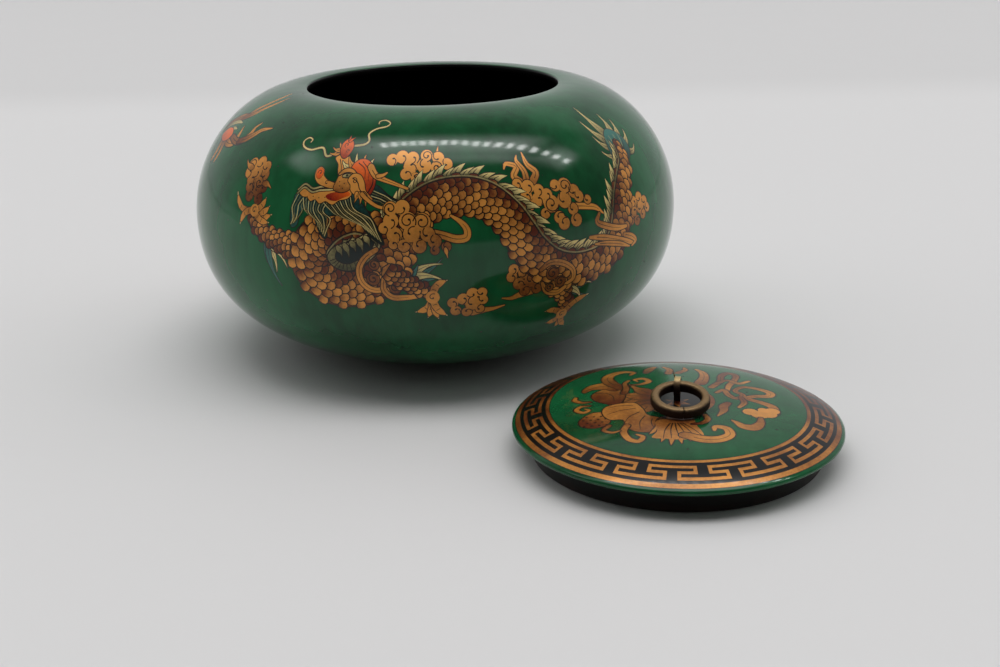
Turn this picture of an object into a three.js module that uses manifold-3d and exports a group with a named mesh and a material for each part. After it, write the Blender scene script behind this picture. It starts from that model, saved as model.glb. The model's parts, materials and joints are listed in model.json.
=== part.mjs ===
// A squat round lacquer pot with an open mouth, and its domed lid lying beside it on the same surface.
// The lid carries a brass ring pull, which swings in the eye of a strap pin.
// Millimetres, +Z up, the origin at the middle of the pot's underside. The front is towards -Y.

import * as THREE from 'three';
import { mergeVertices } from 'three/addons/utils/BufferGeometryUtils.js';
import Module from 'manifold-3d';

const wasm = await Module();
wasm.setup();

const radians = THREE.MathUtils.degToRad;

// Clearances between pieces that touch or turn in each other
const touchGap = 0.3;
const lidFit = 1;
const turningGap = 0.3;

// The pot
const potRadius = 100;
const bellyHeight = 56;
const mouthHeight = 106.8;
const mouthRadius = 51.5;
const baseRadius = 42.2;
const potWall = 3;
const potFloor = 4;
const mouthEdgeRadius = 0.9;

// How full the pot's two curves are: each end's straight run as a share of the way to the other end
const footFullness = 0.634;
const lowerBellyFullness = 0.575;
const upperBellyFullness = 0.608;
const shoulderFullness = 0.474;
const footSlope = radians(13.3);
const mouthDip = radians(7.1);

// The lid, whose flange goes into the mouth with the fit above
const lidOverhang = 5.7;
const lidRise = 8.04;
const lidCrownShare = 0.38;
const lidRimPower = 6;
const lidLipThickness = 1.6;
const lidFlangeDepth = 8.5;
const lidWall = 2.6;
const flangeWall = 2.6;
const flangeEdge = 0.6;

// Where the lid lies: its bearing from the pot's axis, and the gap between the two from above
const lidBearing = radians(-57.15);
const lidClear = 2.4;

// The ring pull, a thick ring with rounded edges
const ringInnerRadius = 7.04;
const ringWidth = 3.06;
const ringDepth = 3.8;
const ringEdgeRadius = 1.2;

// The strap pin: a folded strap whose eye holds the ring and whose two legs are bent over below the lid
const strapWidth = 2.2;
const strapThickness = 0.8;
const pinNeck = 1.7;
const pinTurn = radians(12);
const pinLegReach = 6;

// Steps around and along the turned forms
const potSides = 60;
const lidSides = 60;
const ringSides = 32;
const curveSteps = 9;
const cornerSteps = 3;
const eyeSteps = 20;

const lacquerGreen = { color: 0x1d5236, roughness: 0.14, metalness: 0 };
const agedBrass = { color: 0x87704c, roughness: 0.42, metalness: 1 };

// The lid's sizes that follow from the mouth it closes
const lidRadius = mouthRadius + lidOverhang;
const flangeRadius = mouthRadius - lidFit;
const lidEdgeHeight = lidFlangeDepth + lidLipThickness;
const lidTop = lidEdgeHeight + lidRise;

/** A corner of a profile, rounded by a quarter circle or less: points from one angle to the other. */
function arcPoints(x, y, radius, from, to, steps) {
  const points = [];
  for (let i = 0; i <= steps; i += 1) {
    const angle = from + (to - from) * (i / steps);
    points.push(new THREE.Vector2(x + radius * Math.cos(angle), y + radius * Math.sin(angle)));
  }
  return points;
}

/** The pot's outer face from the edge of its base to the mouth, as two curves that meet at the belly. */
function potCurves() {
  const footRun = footFullness * (potRadius - baseRadius);
  const shoulderRun = shoulderFullness * (potRadius - mouthRadius);
  const lower = new THREE.CubicBezierCurve(
    new THREE.Vector2(baseRadius, 0),
    new THREE.Vector2(baseRadius + footRun * Math.cos(footSlope), footRun * Math.sin(footSlope)),
    new THREE.Vector2(potRadius, bellyHeight * (1 - lowerBellyFullness)),
    new THREE.Vector2(potRadius, bellyHeight),
  );
  const upper = new THREE.CubicBezierCurve(
    new THREE.Vector2(potRadius, bellyHeight),
    new THREE.Vector2(potRadius, bellyHeight + upperBellyFullness * (mouthHeight - bellyHeight)),
    new THREE.Vector2(
      mouthRadius + shoulderRun * Math.cos(mouthDip),
      mouthHeight + shoulderRun * Math.sin(mouthDip),
    ),
    new THREE.Vector2(mouthRadius, mouthHeight),
  );
  return [lower, upper];
}

/** Points along a curve, moved inwards at right angles to it by the wall. */
function curvePoints(curve, inset) {
  const points = [];
  for (let i = 0; i <= curveSteps; i += 1) {
    const point = curve.getPointAt(i / curveSteps);
    const along = curve.getTangentAt(i / curveSteps);
    points.push(new THREE.Vector2(point.x - along.y * inset, point.y + along.x * inset));
  }
  return points;
}

/** A closed mesh turned from a profile of (radius, height) points, anticlockwise, with +Z as its axis. */
function turned(profile, sides) {
  const geometry = new THREE.LatheGeometry(profile, sides);
  geometry.rotateX(Math.PI / 2);
  return geometry;
}

/** The hollow pot: base, outer curves, rounded mouth edge, throat, inner curves and flat floor. */
function potGeometry() {
  const [lower, upper] = potCurves();
  const outside = [...curvePoints(lower, 0), ...curvePoints(upper, 0).slice(1, -1)];
  const inside = [...curvePoints(lower, potWall), ...curvePoints(upper, potWall).slice(1)];
  const aboveFloor = inside.filter((point) => point.y > potFloor + touchGap);
  const mouthEdge = arcPoints(
    mouthRadius + mouthEdgeRadius,
    mouthHeight - mouthEdgeRadius,
    mouthEdgeRadius,
    Math.PI / 2,
    Math.PI,
    cornerSteps,
  );
  const floorEdge = new THREE.Vector2(aboveFloor[0].x - (aboveFloor[0].y - potFloor), potFloor);
  const profile = [
    new THREE.Vector2(0, 0),
    ...outside,
    ...mouthEdge,
    ...aboveFloor.reverse(),
    floorEdge,
    new THREE.Vector2(0, potFloor),
  ];
  return turned(profile, potSides);
}

/** Height of the lid's dome over the table at a radius: a low crown that falls faster near the rim. */
function domeHeight(radius) {
  const share = radius / lidRadius;
  const fall = lidCrownShare * share ** 2 + (1 - lidCrownShare) * share ** lidRimPower;
  return lidTop - lidRise * fall;
}

/** The lid without its hole: dome, rounded lip, and the flange that drops into the mouth. */
function lidGeometry() {
  const flangeInside = flangeRadius - flangeWall;
  const lipRadius = lidLipThickness / 2;
  const underside = [];
  const dome = [];
  for (let i = 0; i <= curveSteps; i += 1) {
    const radius = flangeInside * (i / curveSteps);
    underside.push(new THREE.Vector2(radius, domeHeight(radius) - lidWall));
  }
  for (let i = 0; i <= curveSteps; i += 1) {
    const radius = (lidRadius - lipRadius / 2) * Math.sin((Math.PI / 2) * (1 - i / curveSteps));
    dome.push(new THREE.Vector2(radius, domeHeight(radius)));
  }
  const lip = arcPoints(
    lidRadius - lipRadius,
    lidFlangeDepth + lipRadius,
    lipRadius,
    -Math.PI / 2,
    Math.PI / 6,
    cornerSteps,
  );
  const profile = [
    ...underside,
    new THREE.Vector2(flangeInside, flangeEdge),
    new THREE.Vector2(flangeInside + flangeEdge, 0),
    new THREE.Vector2(flangeRadius - flangeEdge, 0),
    new THREE.Vector2(flangeRadius, flangeEdge),
    new THREE.Vector2(flangeRadius, lidFlangeDepth),
    ...lip,
    ...dome,
  ];
  return turned(profile, lidSides);
}

// The ring and the eye that it turns in. The ring's back is in the eye, on the lid's axis
const ringReach = Math.hypot(ringWidth / 2 - ringEdgeRadius, ringDepth / 2 - ringEdgeRadius) + ringEdgeRadius;
const eyeSlack = (strapWidth / 2) * Math.tan(pinTurn);
const eyeRadius = ringReach / Math.cos(pinTurn) + eyeSlack + turningGap;
const eyeOuterRadius = eyeRadius + strapThickness;
const eyeHeight = lidTop + pinNeck + eyeOuterRadius;
const ringMiddleRadius = ringInnerRadius + ringWidth / 2;

/** How far the ring leans at rest, so that its front lies on the dome. */
function ringLean() {
  const reach = 2 * ringMiddleRadius;
  const restHeight = domeHeight(reach) + ringReach + touchGap;
  return Math.asin((eyeHeight - restHeight) / reach);
}

/** The ring: a rounded section turned about the ring's own axis. */
function ringGeometry() {
  const corners = [[1, -1], [1, 1], [-1, 1], [-1, -1]];
  const section = [];
  corners.forEach(([across, up], index) => {
    const start = -Math.PI / 2 + index * (Math.PI / 2);
    section.push(...arcPoints(
      ringMiddleRadius + across * (ringWidth / 2 - ringEdgeRadius),
      up * (ringDepth / 2 - ringEdgeRadius),
      ringEdgeRadius,
      start,
      start + Math.PI / 2,
      cornerSteps,
    ));
  });
  section.push(section[0].clone());
  return turned(section, ringSides);
}

/** The strap pin seen from its side: bent legs, neck and eye, cut out as one and as wide as the strap. */
function pinGeometry() {
  const legTop = lidTop - lidWall - touchGap;
  const neckJoin = Math.asin(strapThickness / eyeOuterRadius);
  const outline = new THREE.Shape();
  outline.moveTo(-pinLegReach, legTop - strapThickness);
  outline.lineTo(pinLegReach, legTop - strapThickness);
  outline.lineTo(pinLegReach, legTop);
  outline.lineTo(strapThickness, legTop);
  outline.absarc(0, eyeHeight, eyeOuterRadius, -Math.PI / 2 + neckJoin, 1.5 * Math.PI - neckJoin, false);
  outline.lineTo(-strapThickness, legTop);
  outline.lineTo(-pinLegReach, legTop);
  outline.closePath();
  const eye = new THREE.Path();
  eye.absarc(0, eyeHeight, eyeRadius, 0, 2 * Math.PI, true);
  outline.holes.push(eye);
  const geometry = new THREE.ExtrudeGeometry(outline, {
    depth: strapWidth,
    bevelEnabled: false,
    curveSegments: eyeSteps,
  });
  geometry.translate(0, 0, -strapWidth / 2);
  geometry.rotateX(Math.PI / 2);
  return geometry;
}

/** The slot in the lid that the two legs of the pin go through. */
function slotGeometry() {
  const geometry = new THREE.BoxGeometry(
    2 * (strapThickness + touchGap),
    strapWidth + 2 * touchGap,
    2 * lidTop,
  );
  geometry.translate(0, 0, lidTop);
  return geometry;
}

/** A solid for cutting, made from a closed geometry. */
function solid(geometry) {
  const bare = geometry.clone();
  bare.deleteAttribute('normal');
  bare.deleteAttribute('uv');
  const merged = mergeVertices(bare, 1e-4);
  return new wasm.Manifold(new wasm.Mesh({
    numProp: 3,
    vertProperties: new Float32Array(merged.attributes.position.array),
    triVerts: new Uint32Array(merged.index.array),
  }));
}

/** One geometry with another cut out of it. */
function cut(body, tool) {
  const mesh = solid(body).subtract(solid(tool)).getMesh();
  const geometry = new THREE.BufferGeometry();
  geometry.setAttribute('position', new THREE.BufferAttribute(mesh.vertProperties, 3));
  geometry.setIndex(new THREE.BufferAttribute(mesh.triVerts, 1));
  geometry.computeVertexNormals();
  return geometry;
}

/** A named piece with a finish of its own. */
function piece(name, geometry, finish) {
  const mesh = new THREE.Mesh(geometry, new THREE.MeshStandardMaterial(finish));
  mesh.name = name;
  return mesh;
}

const acrossPin = Math.PI / 2 - pinTurn;
const pot = piece('pot', potGeometry(), lacquerGreen);
const lid = piece('lid', cut(lidGeometry(), slotGeometry().rotateZ(acrossPin)), lacquerGreen);
const pin = piece('pull_pin', pinGeometry().rotateZ(acrossPin), agedBrass);
const ring = piece('pull_ring', ringGeometry(), agedBrass);

// The ring leans forward from the eye
ring.position.y = -ringMiddleRadius;
const ringHanger = new THREE.Group();
ringHanger.position.z = eyeHeight;
ringHanger.rotation.x = ringLean();
ringHanger.add(ring);

const lidDistance = potRadius + lidClear + lidRadius;
const lidGroup = new THREE.Group();
lidGroup.position.set(lidDistance * Math.cos(lidBearing), lidDistance * Math.sin(lidBearing), 0);
lidGroup.add(lid, pin, ringHanger);

const liddedPot = new THREE.Group();
liddedPot.add(pot, lidGroup);

export default liddedPot;
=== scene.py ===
"""A green lacquered pot with its lid lying beside it, painted in gold with a dragon among clouds.

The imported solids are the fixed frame. The pot and the lid are made again here as fine turned shells whose
painting is part of their surface, flush with the lacquer. The brass ring and its pin get their fine forms.
Drawing sizes are in millimetres, and the meshes are in metres.
"""

import json
import logging
import math
from collections.abc import Callable, Sequence
from dataclasses import dataclass, field
from enum import Enum

import bmesh
import bpy
import numpy as np
from mathutils import Matrix, Vector
from mathutils.geometry import delaunay_2d_cdt


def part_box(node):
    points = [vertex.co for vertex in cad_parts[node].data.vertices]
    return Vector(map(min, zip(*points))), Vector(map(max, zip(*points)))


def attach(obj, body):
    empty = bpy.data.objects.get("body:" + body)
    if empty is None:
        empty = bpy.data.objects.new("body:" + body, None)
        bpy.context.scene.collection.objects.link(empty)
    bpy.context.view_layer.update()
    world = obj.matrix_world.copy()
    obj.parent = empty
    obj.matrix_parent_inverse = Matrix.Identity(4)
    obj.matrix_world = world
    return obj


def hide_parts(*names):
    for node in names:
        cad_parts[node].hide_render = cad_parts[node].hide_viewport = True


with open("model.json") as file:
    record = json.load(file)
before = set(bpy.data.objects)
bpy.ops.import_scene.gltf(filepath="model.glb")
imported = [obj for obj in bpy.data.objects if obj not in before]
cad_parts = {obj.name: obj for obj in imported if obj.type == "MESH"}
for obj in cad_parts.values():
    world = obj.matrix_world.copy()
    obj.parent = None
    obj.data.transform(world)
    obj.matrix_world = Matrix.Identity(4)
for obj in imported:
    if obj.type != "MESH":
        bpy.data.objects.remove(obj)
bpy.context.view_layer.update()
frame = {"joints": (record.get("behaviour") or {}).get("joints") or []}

LOG = logging.getLogger("lidded_pot")
MM = 0.001
FULL_TURN = 2 * math.pi

Points = Sequence[tuple[float, ...]] | np.ndarray
Pair = tuple[tuple[float, float], tuple[float, float]]
CutSheet = tuple[np.ndarray, np.ndarray, np.ndarray, np.ndarray]


def linear(code: str) -> tuple[float, float, float, float]:
    """A colour written as rrggbb, as the linear values that a shader takes.

    Args:
        code: Six hexadecimal digits, the colour as a screen shows it.

    Returns:
        Red, green, blue and an alpha of one.
    """
    shown = [int(code[i:i + 2], 16) / 255 for i in (0, 2, 4)]
    return (*[c / 12.92 if c <= 0.04045 else ((c + 0.055) / 1.055) ** 2.4 for c in shown], 1.0)


# Shader maths

class Signal:
    """A socket of a node, with the arithmetic that adds Math nodes."""

    def __init__(self, graph: "Graph", socket: bpy.types.NodeSocket) -> None:
        """Keeps the graph and the socket.

        Args:
            graph: The graph that the socket belongs to.
            socket: The output that carries the value.
        """
        self.graph = graph
        self.socket = socket

    def _math(self, operation: str, *terms: "Signal | float") -> "Signal":
        """A Math node over the terms in their order."""
        return self.graph.node("ShaderNodeMath", {"operation": operation}, dict(enumerate(terms)))

    def __add__(self, other: "Signal | float") -> "Signal":
        """The sum."""
        return self._math("ADD", self, other)

    __radd__ = __add__

    def __sub__(self, other: "Signal | float") -> "Signal":
        """The difference."""
        return self._math("SUBTRACT", self, other)

    def __rsub__(self, other: "Signal | float") -> "Signal":
        """The difference from a number."""
        return self._math("SUBTRACT", other, self)

    def __mul__(self, other: "Signal | float") -> "Signal":
        """The product."""
        return self._math("MULTIPLY", self, other)

    __rmul__ = __mul__

    def __truediv__(self, other: "Signal | float") -> "Signal":
        """The quotient."""
        return self._math("DIVIDE", self, other)

    def most(self, other: "Signal | float") -> "Signal":
        """The larger of the two."""
        return self._math("MAXIMUM", self, other)

    def step(self, low: float, high: float) -> "Signal":
        """A smooth step from 0 at low to 1 at high, which may be the smaller one.

        Args:
            low: Where the step starts.
            high: Where it ends.

        Returns:
            The step's value.
        """
        inputs = {"Value": self, "From Min": low, "From Max": high}
        return self.graph.node("ShaderNodeMapRange", {"interpolation_type": "SMOOTHSTEP"}, inputs)


class Graph:
    """The node tree of one material or of the world."""

    def __init__(self, tree: bpy.types.NodeTree) -> None:
        """Empties the tree.

        Args:
            tree: The node tree to build in.
        """
        self.tree = tree
        self.tree.nodes.clear()

    def node(self, kind: str, settings: dict | None = None, inputs: dict | None = None,
             output: int | str = 0) -> Signal:
        """Adds one node.

        Args:
            kind: The node's type.
            settings: Its properties, which are set before its sockets.
            inputs: Values or signals by the name or number of the socket.
            output: Which output to return.

        Returns:
            That output.
        """
        made = self.tree.nodes.new(kind)
        for name, value in (settings or {}).items():
            setattr(made, name, value)
        for name, value in (inputs or {}).items():
            self.feed(made.inputs[name], value)
        return Signal(self, made.outputs[output])

    def feed(self, socket: bpy.types.NodeSocket, value: "Signal | float | tuple") -> None:
        """Links a signal to a socket, or sets a plain value on it."""
        if isinstance(value, Signal):
            self.tree.links.new(value.socket, socket)
        else:
            socket.default_value = value

    def place(self) -> Signal:
        """The point on the object, in metres in the shared frame."""
        return self.node("ShaderNodeTexCoord", output="Object")

    def part(self, vector: Signal, axis: str) -> Signal:
        """One of the X, Y and Z parts of a vector."""
        return self.node("ShaderNodeSeparateXYZ", inputs={"Vector": vector}, output=axis)

    def stretched(self, vector: Signal, scale: tuple[float, float, float]) -> Signal:
        """The vector times a scale for each axis."""
        return self.node("ShaderNodeVectorMath", {"operation": "MULTIPLY"}, {0: vector, 1: scale})

    def noise(self, vector: Signal, size_mm: float, detail: float = 3.0, rough: float = 0.55) -> Signal:
        """Smooth noise from 0 to 1.

        Args:
            vector: The point to read it at, in metres.
            size_mm: About how wide a spot of it is.
            detail: How many finer layers it has.
            rough: How strong they are.

        Returns:
            The noise's value.
        """
        inputs = {"Vector": vector, "Scale": 1 / (size_mm * MM), "Detail": detail, "Roughness": rough}
        return self.node("ShaderNodeTexNoise", inputs=inputs)

    def specks(self, vector: Signal, size_mm: float) -> Signal:
        """The distance to the nearest of scattered points, where 1 is one cell."""
        inputs = {"Vector": vector, "Scale": 1 / (size_mm * MM)}
        return self.node("ShaderNodeTexVoronoi", inputs=inputs, output="Distance")

    def mix(self, factor: "Signal | float", first: "Signal | tuple", second: "Signal | tuple") -> Signal:
        """A colour that goes from the first to the second as the factor goes from 0 to 1."""
        made = self.tree.nodes.new("ShaderNodeMix")
        made.data_type = "RGBA"
        colours = [s for s in made.inputs if s.type == "RGBA"]
        self.feed(made.inputs[0], factor)
        self.feed(colours[0], first)
        self.feed(colours[1], second)
        return Signal(self, next(s for s in made.outputs if s.type == "RGBA"))

    def bump(self, height: Signal, depth_mm: float) -> Signal:
        """A normal for relief of that depth."""
        inputs = {"Height": height, "Distance": depth_mm * MM, "Strength": 1.0}
        return self.node("ShaderNodeBump", inputs=inputs)

    def surface(self, values: dict[str, "Signal | float | tuple"]) -> None:
        """Ends the tree in a Principled shader.

        Args:
            values: Values or signals by the name of the shader's socket.
        """
        shader = self.node("ShaderNodeBsdfPrincipled", inputs=values)
        self.node_output("ShaderNodeOutputMaterial", shader)

    def node_output(self, kind: str, shader: Signal) -> None:
        """Adds the output node, fed by the shader."""
        out = self.tree.nodes.new(kind)
        self.tree.links.new(shader.socket, out.inputs["Surface"])


def new_material(name: str) -> tuple[bpy.types.Material, Graph]:
    """A material with an empty tree.

    Args:
        name: The material's name.

    Returns:
        The material and its graph.
    """
    material = bpy.data.materials.new(name)
    material.use_nodes = True
    return material, Graph(material.node_tree)


TONE = "tone"


@dataclass(frozen=True)
class Lacquer:
    """Polished lacquer over wood, with slow changes of depth, fine dust pits and a hand-rubbed unevenness."""

    name: str
    deep: str
    bright: str
    edge: str
    edge_height_mm: float
    roughness: float
    pit_share: float = 0.07

    def build(self) -> bpy.types.Material:
        """Makes the material.

        Returns:
            The finished material.
        """
        material, graph = new_material(self.name)
        point = graph.place()
        slow = graph.noise(point, 46, 3)
        streaks = graph.noise(graph.stretched(point, (1, 1, 0.16)), 5, 4)
        depth = (slow * 0.7 + streaks * 0.3).step(0.3, 0.72)
        colour = graph.mix(depth, linear(self.deep), linear(self.bright))
        near_foot = graph.part(point, "Z").step(self.edge_height_mm * MM, 0.0)
        worn = near_foot * graph.noise(point, 9).step(0.3, 0.7)
        colour = graph.mix(worn * 0.75, colour, linear(self.edge))
        pits = graph.specks(point, 9).step(self.pit_share, self.pit_share * 0.45)
        colour = graph.mix(pits * 0.8, colour, linear("120c08"))
        rubbed = graph.noise(point, 14, 4, 0.6)
        roughness = self.roughness + (rubbed - 0.5) * 0.09 + pits * 0.3
        height = graph.noise(point, 11, 1) * 0.8 + graph.noise(point, 0.9, 2) * 0.012 - pits * 0.05
        graph.surface({"Base Color": colour, "Roughness": roughness, "Normal": graph.bump(height, 0.12),
                       "Coat Weight": 0.12, "Coat Roughness": 0.06, "Specular IOR Level": 0.36})
        return material


@dataclass(frozen=True)
class BrushPaint:
    """Thin paint on the lacquer, from its deep tone to its full tone as the surface's tone says, and worn
    back to the deep tone in spots.
    """

    name: str
    deep: str
    full: str
    metallic: float = 0.0
    roughness: float = 0.3

    def build(self) -> bpy.types.Material:
        """Makes the material.

        Returns:
            The finished material.
        """
        material, graph = new_material(self.name)
        point = graph.place()
        tone = graph.node("ShaderNodeAttribute", {"attribute_name": TONE}, output="Fac")
        grain = graph.noise(point, 1.1, 4, 0.65)
        cloudy = graph.noise(point, 13, 3)
        shade = tone + (grain - 0.5) * 0.5 + (cloudy - 0.5) * 0.8
        colour = graph.mix(shade.step(0.02, 0.98), linear(self.deep), linear(self.full))
        worn = graph.noise(point, 2.2, 5, 0.7).step(0.70, 0.78)
        colour = graph.mix(worn * 0.6, colour, linear(self.deep))
        graph.surface({"Base Color": colour, "Metallic": self.metallic,
                       "Roughness": self.roughness + (grain - 0.5) * 0.2,
                       "Normal": graph.bump(grain + graph.noise(point, 11, 1) * 4, 0.02),
                       "Coat Weight": 0.3, "Coat Roughness": 0.1, "Specular IOR Level": 0.4})
        return material


@dataclass(frozen=True)
class AgedBrass:
    """Old brass under a dark patina, lighter on top as rubbed wear and as painted light from above, with a
    painted highlight at the eye.
    """

    name: str
    bright: str
    worn: str
    patina: str
    highlight_spot_m: tuple[float, float, float]
    highlight_reach_mm: float

    def build(self) -> bpy.types.Material:
        """Makes the material.

        Returns:
            The finished material.
        """
        material, graph = new_material(self.name)
        point = graph.place()
        up = graph.part(graph.node("ShaderNodeNewGeometry", output="Normal"), "Z")
        blotches = graph.noise(point, 3.4, 5, 0.62)
        fine = graph.noise(point, 0.7, 4, 0.6)
        # Faces that point up turn lighter: partly rubbed wear, partly painted light from above.
        rubbed = up * 0.8 + blotches * 0.55 + fine * 0.25
        colour = graph.mix(rubbed.step(0.5, 1.25), linear(self.patina), linear(self.worn))
        # A painted highlight: a bright patch on the brass by the ring's eye, lighter still where it faces up.
        reach = self.highlight_reach_mm * MM
        ends = {0: point, 1: self.highlight_spot_m}
        away = graph.node("ShaderNodeVectorMath", {"operation": "DISTANCE"}, ends, "Value")
        painted_highlight = away.step(reach, reach * 0.35) * (up * 0.5 + fine).step(0.3, 0.9)
        colour = graph.mix(painted_highlight, colour, linear(self.bright))
        colour = graph.mix(graph.noise(point, 1.3, 4).step(0.62, 0.7) * 0.7, colour, linear(self.patina))
        roughness = 0.56 - rubbed * 0.12 - painted_highlight * 0.12 + fine * 0.14
        graph.surface({"Base Color": colour, "Metallic": 0.6, "Roughness": roughness,
                       "Normal": graph.bump(blotches * 0.6 + fine * 0.4, 0.16)})
        return material


class Paint(Enum):
    """What a face of the lacquer ware is finished in."""

    GREEN = "green_lacquer"
    BLACK = "black_lacquer"
    GOLD = "gold_paint"
    INK = "outline_ink"
    RED = "red_paint"
    TEAL = "teal_paint"
    CREAM = "cream_paint"


PAINTS = list(Paint)
GREEN, BLACK, GOLD, INK, RED, TEAL, CREAM = PAINTS


def finishes() -> dict[Paint, bpy.types.Material]:
    """Makes each finish of the lacquer ware once.

    Returns:
        The materials by paint.
    """
    made = (
        Lacquer("green_lacquer", "0f4225", "1f693f", "4a2413", 9.0, 0.1),
        Lacquer("black_lacquer", "0b0a0a", "141110", "2c1710", 4.0, 0.30),
        BrushPaint("gold_paint", "62270d", "de9a46", 0.22, 0.36),
        BrushPaint("outline_ink", "150b07", "2f170c", 0.0, 0.34),
        BrushPaint("red_paint", "861803", "ee6c14", 0.05, 0.34),
        BrushPaint("teal_paint", "061b17", "387c70", 0.0, 0.34),
        BrushPaint("cream_paint", "3f4020", "e4cf8a", 0.05, 0.36),
    )
    return {paint: finish.build() for paint, finish in zip(PAINTS, made)}


# Drawing

@dataclass(frozen=True)
class Wash:
    """How a patch's tone runs: from one value to another along a direction, over a length."""

    start: tuple[float, float] = (0.0, 0.0)
    along: tuple[float, float] = (1.0, 0.0)
    low: float = 0.8
    high: float = 0.8

    def at(self, points: np.ndarray) -> np.ndarray:
        """The tone at each point."""
        gone = points - np.array(self.start)
        share = gone[..., 0] * self.along[0] + gone[..., 1] * self.along[1]
        return self.low + (self.high - self.low) * np.clip(share, 0, 1)


def flat_wash(tone: float) -> Wash:
    """A wash of one tone."""
    return Wash(low=tone, high=tone)


EDGE_INK = flat_wash(0.4)
VEIN_INK = flat_wash(0.5)


def run_wash(start: np.ndarray, end: np.ndarray, low: float, high: float) -> Wash:
    """A wash that runs from one point to another.

    Args:
        start: Where it is low.
        end: Where it is high.
        low: The tone at the start.
        high: The tone at the end.

    Returns:
        The wash.
    """
    way = np.asarray(end, float) - np.asarray(start, float)
    length = max(float(way @ way), 1e-9)
    return Wash(tuple(start), tuple(way / length), low, high)


@dataclass(frozen=True)
class Patch:
    """One closed painted shape: its outline in sheet millimetres, its paint and its wash."""

    outline: np.ndarray
    paint: Paint
    wash: Wash


def smooth(points: Points, step: float, closed: bool = False) -> np.ndarray:
    """A curve through the points, with any further columns, such as a width, carried along.

    Args:
        points: The points to pass through.
        step: About how far apart the new points are.
        closed: Whether the curve runs back to its start.

    Returns:
        The new points.
    """
    p = np.asarray(points, float)
    ends = (p[-1:], p[:2]) if closed else (2 * p[:1] - p[1:2], 2 * p[-1:] - p[-2:-1])
    whole = np.vstack([ends[0], p, ends[1]])
    made = []
    for a, b, c, d in zip(whole, whole[1:], whole[2:], whole[3:]):
        count = max(1, math.ceil(float(np.hypot(*(c - b)[:2])) / step))
        t = (np.arange(count) / count)[:, None]
        bend, twist = 2 * a - 5 * b + 4 * c - d, 3 * b - a - 3 * c + d
        made.append(0.5 * (2 * b + (c - a) * t + bend * t**2 + twist * t**3))
    return np.vstack(made) if closed else np.vstack([*made, p[-1:]])


def sideways(path: np.ndarray) -> np.ndarray:
    """The unit vector to the left of a path's way, at each of its points."""
    way = np.gradient(path[:, :2], axis=0)
    way /= np.maximum(np.linalg.norm(way, axis=1), 1e-9)[:, None]
    return np.stack([-way[:, 1], way[:, 0]], axis=1)


def grown(outline: np.ndarray, by: float) -> np.ndarray:
    """A closed outline pushed out by a distance.

    Args:
        outline: The outline, in either sense.
        by: How far each point goes out.

    Returns:
        The wider outline.
    """
    ahead, behind = np.roll(outline, -1, axis=0), np.roll(outline, 1, axis=0)
    way = ahead - behind
    out = np.stack([way[:, 1], -way[:, 0]], axis=1) / np.maximum(np.linalg.norm(way, axis=1), 1e-9)[:, None]
    turn = float(np.sum(outline[:, 0] * ahead[:, 1] - ahead[:, 0] * outline[:, 1]))
    return outline + out * by * (1 if turn > 0 else -1)


def wound(points: np.ndarray, outline: np.ndarray) -> np.ndarray:
    """Which of the points lie inside an outline, counting how often it winds round them.

    Args:
        points: The points to test.
        outline: The closed outline.

    Returns:
        True for each point inside.
    """
    a, b = outline, np.roll(outline, -1, axis=0)
    x, y = points[:, :1], points[:, 1:]
    side = (b[:, 0] - a[:, 0]) * (y - a[:, 1]) - (x - a[:, 0]) * (b[:, 1] - a[:, 1])
    up = (a[:, 1] <= y) & (b[:, 1] > y) & (side > 0)
    down = (a[:, 1] > y) & (b[:, 1] <= y) & (side < 0)
    return up.sum(1) != down.sum(1)


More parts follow.
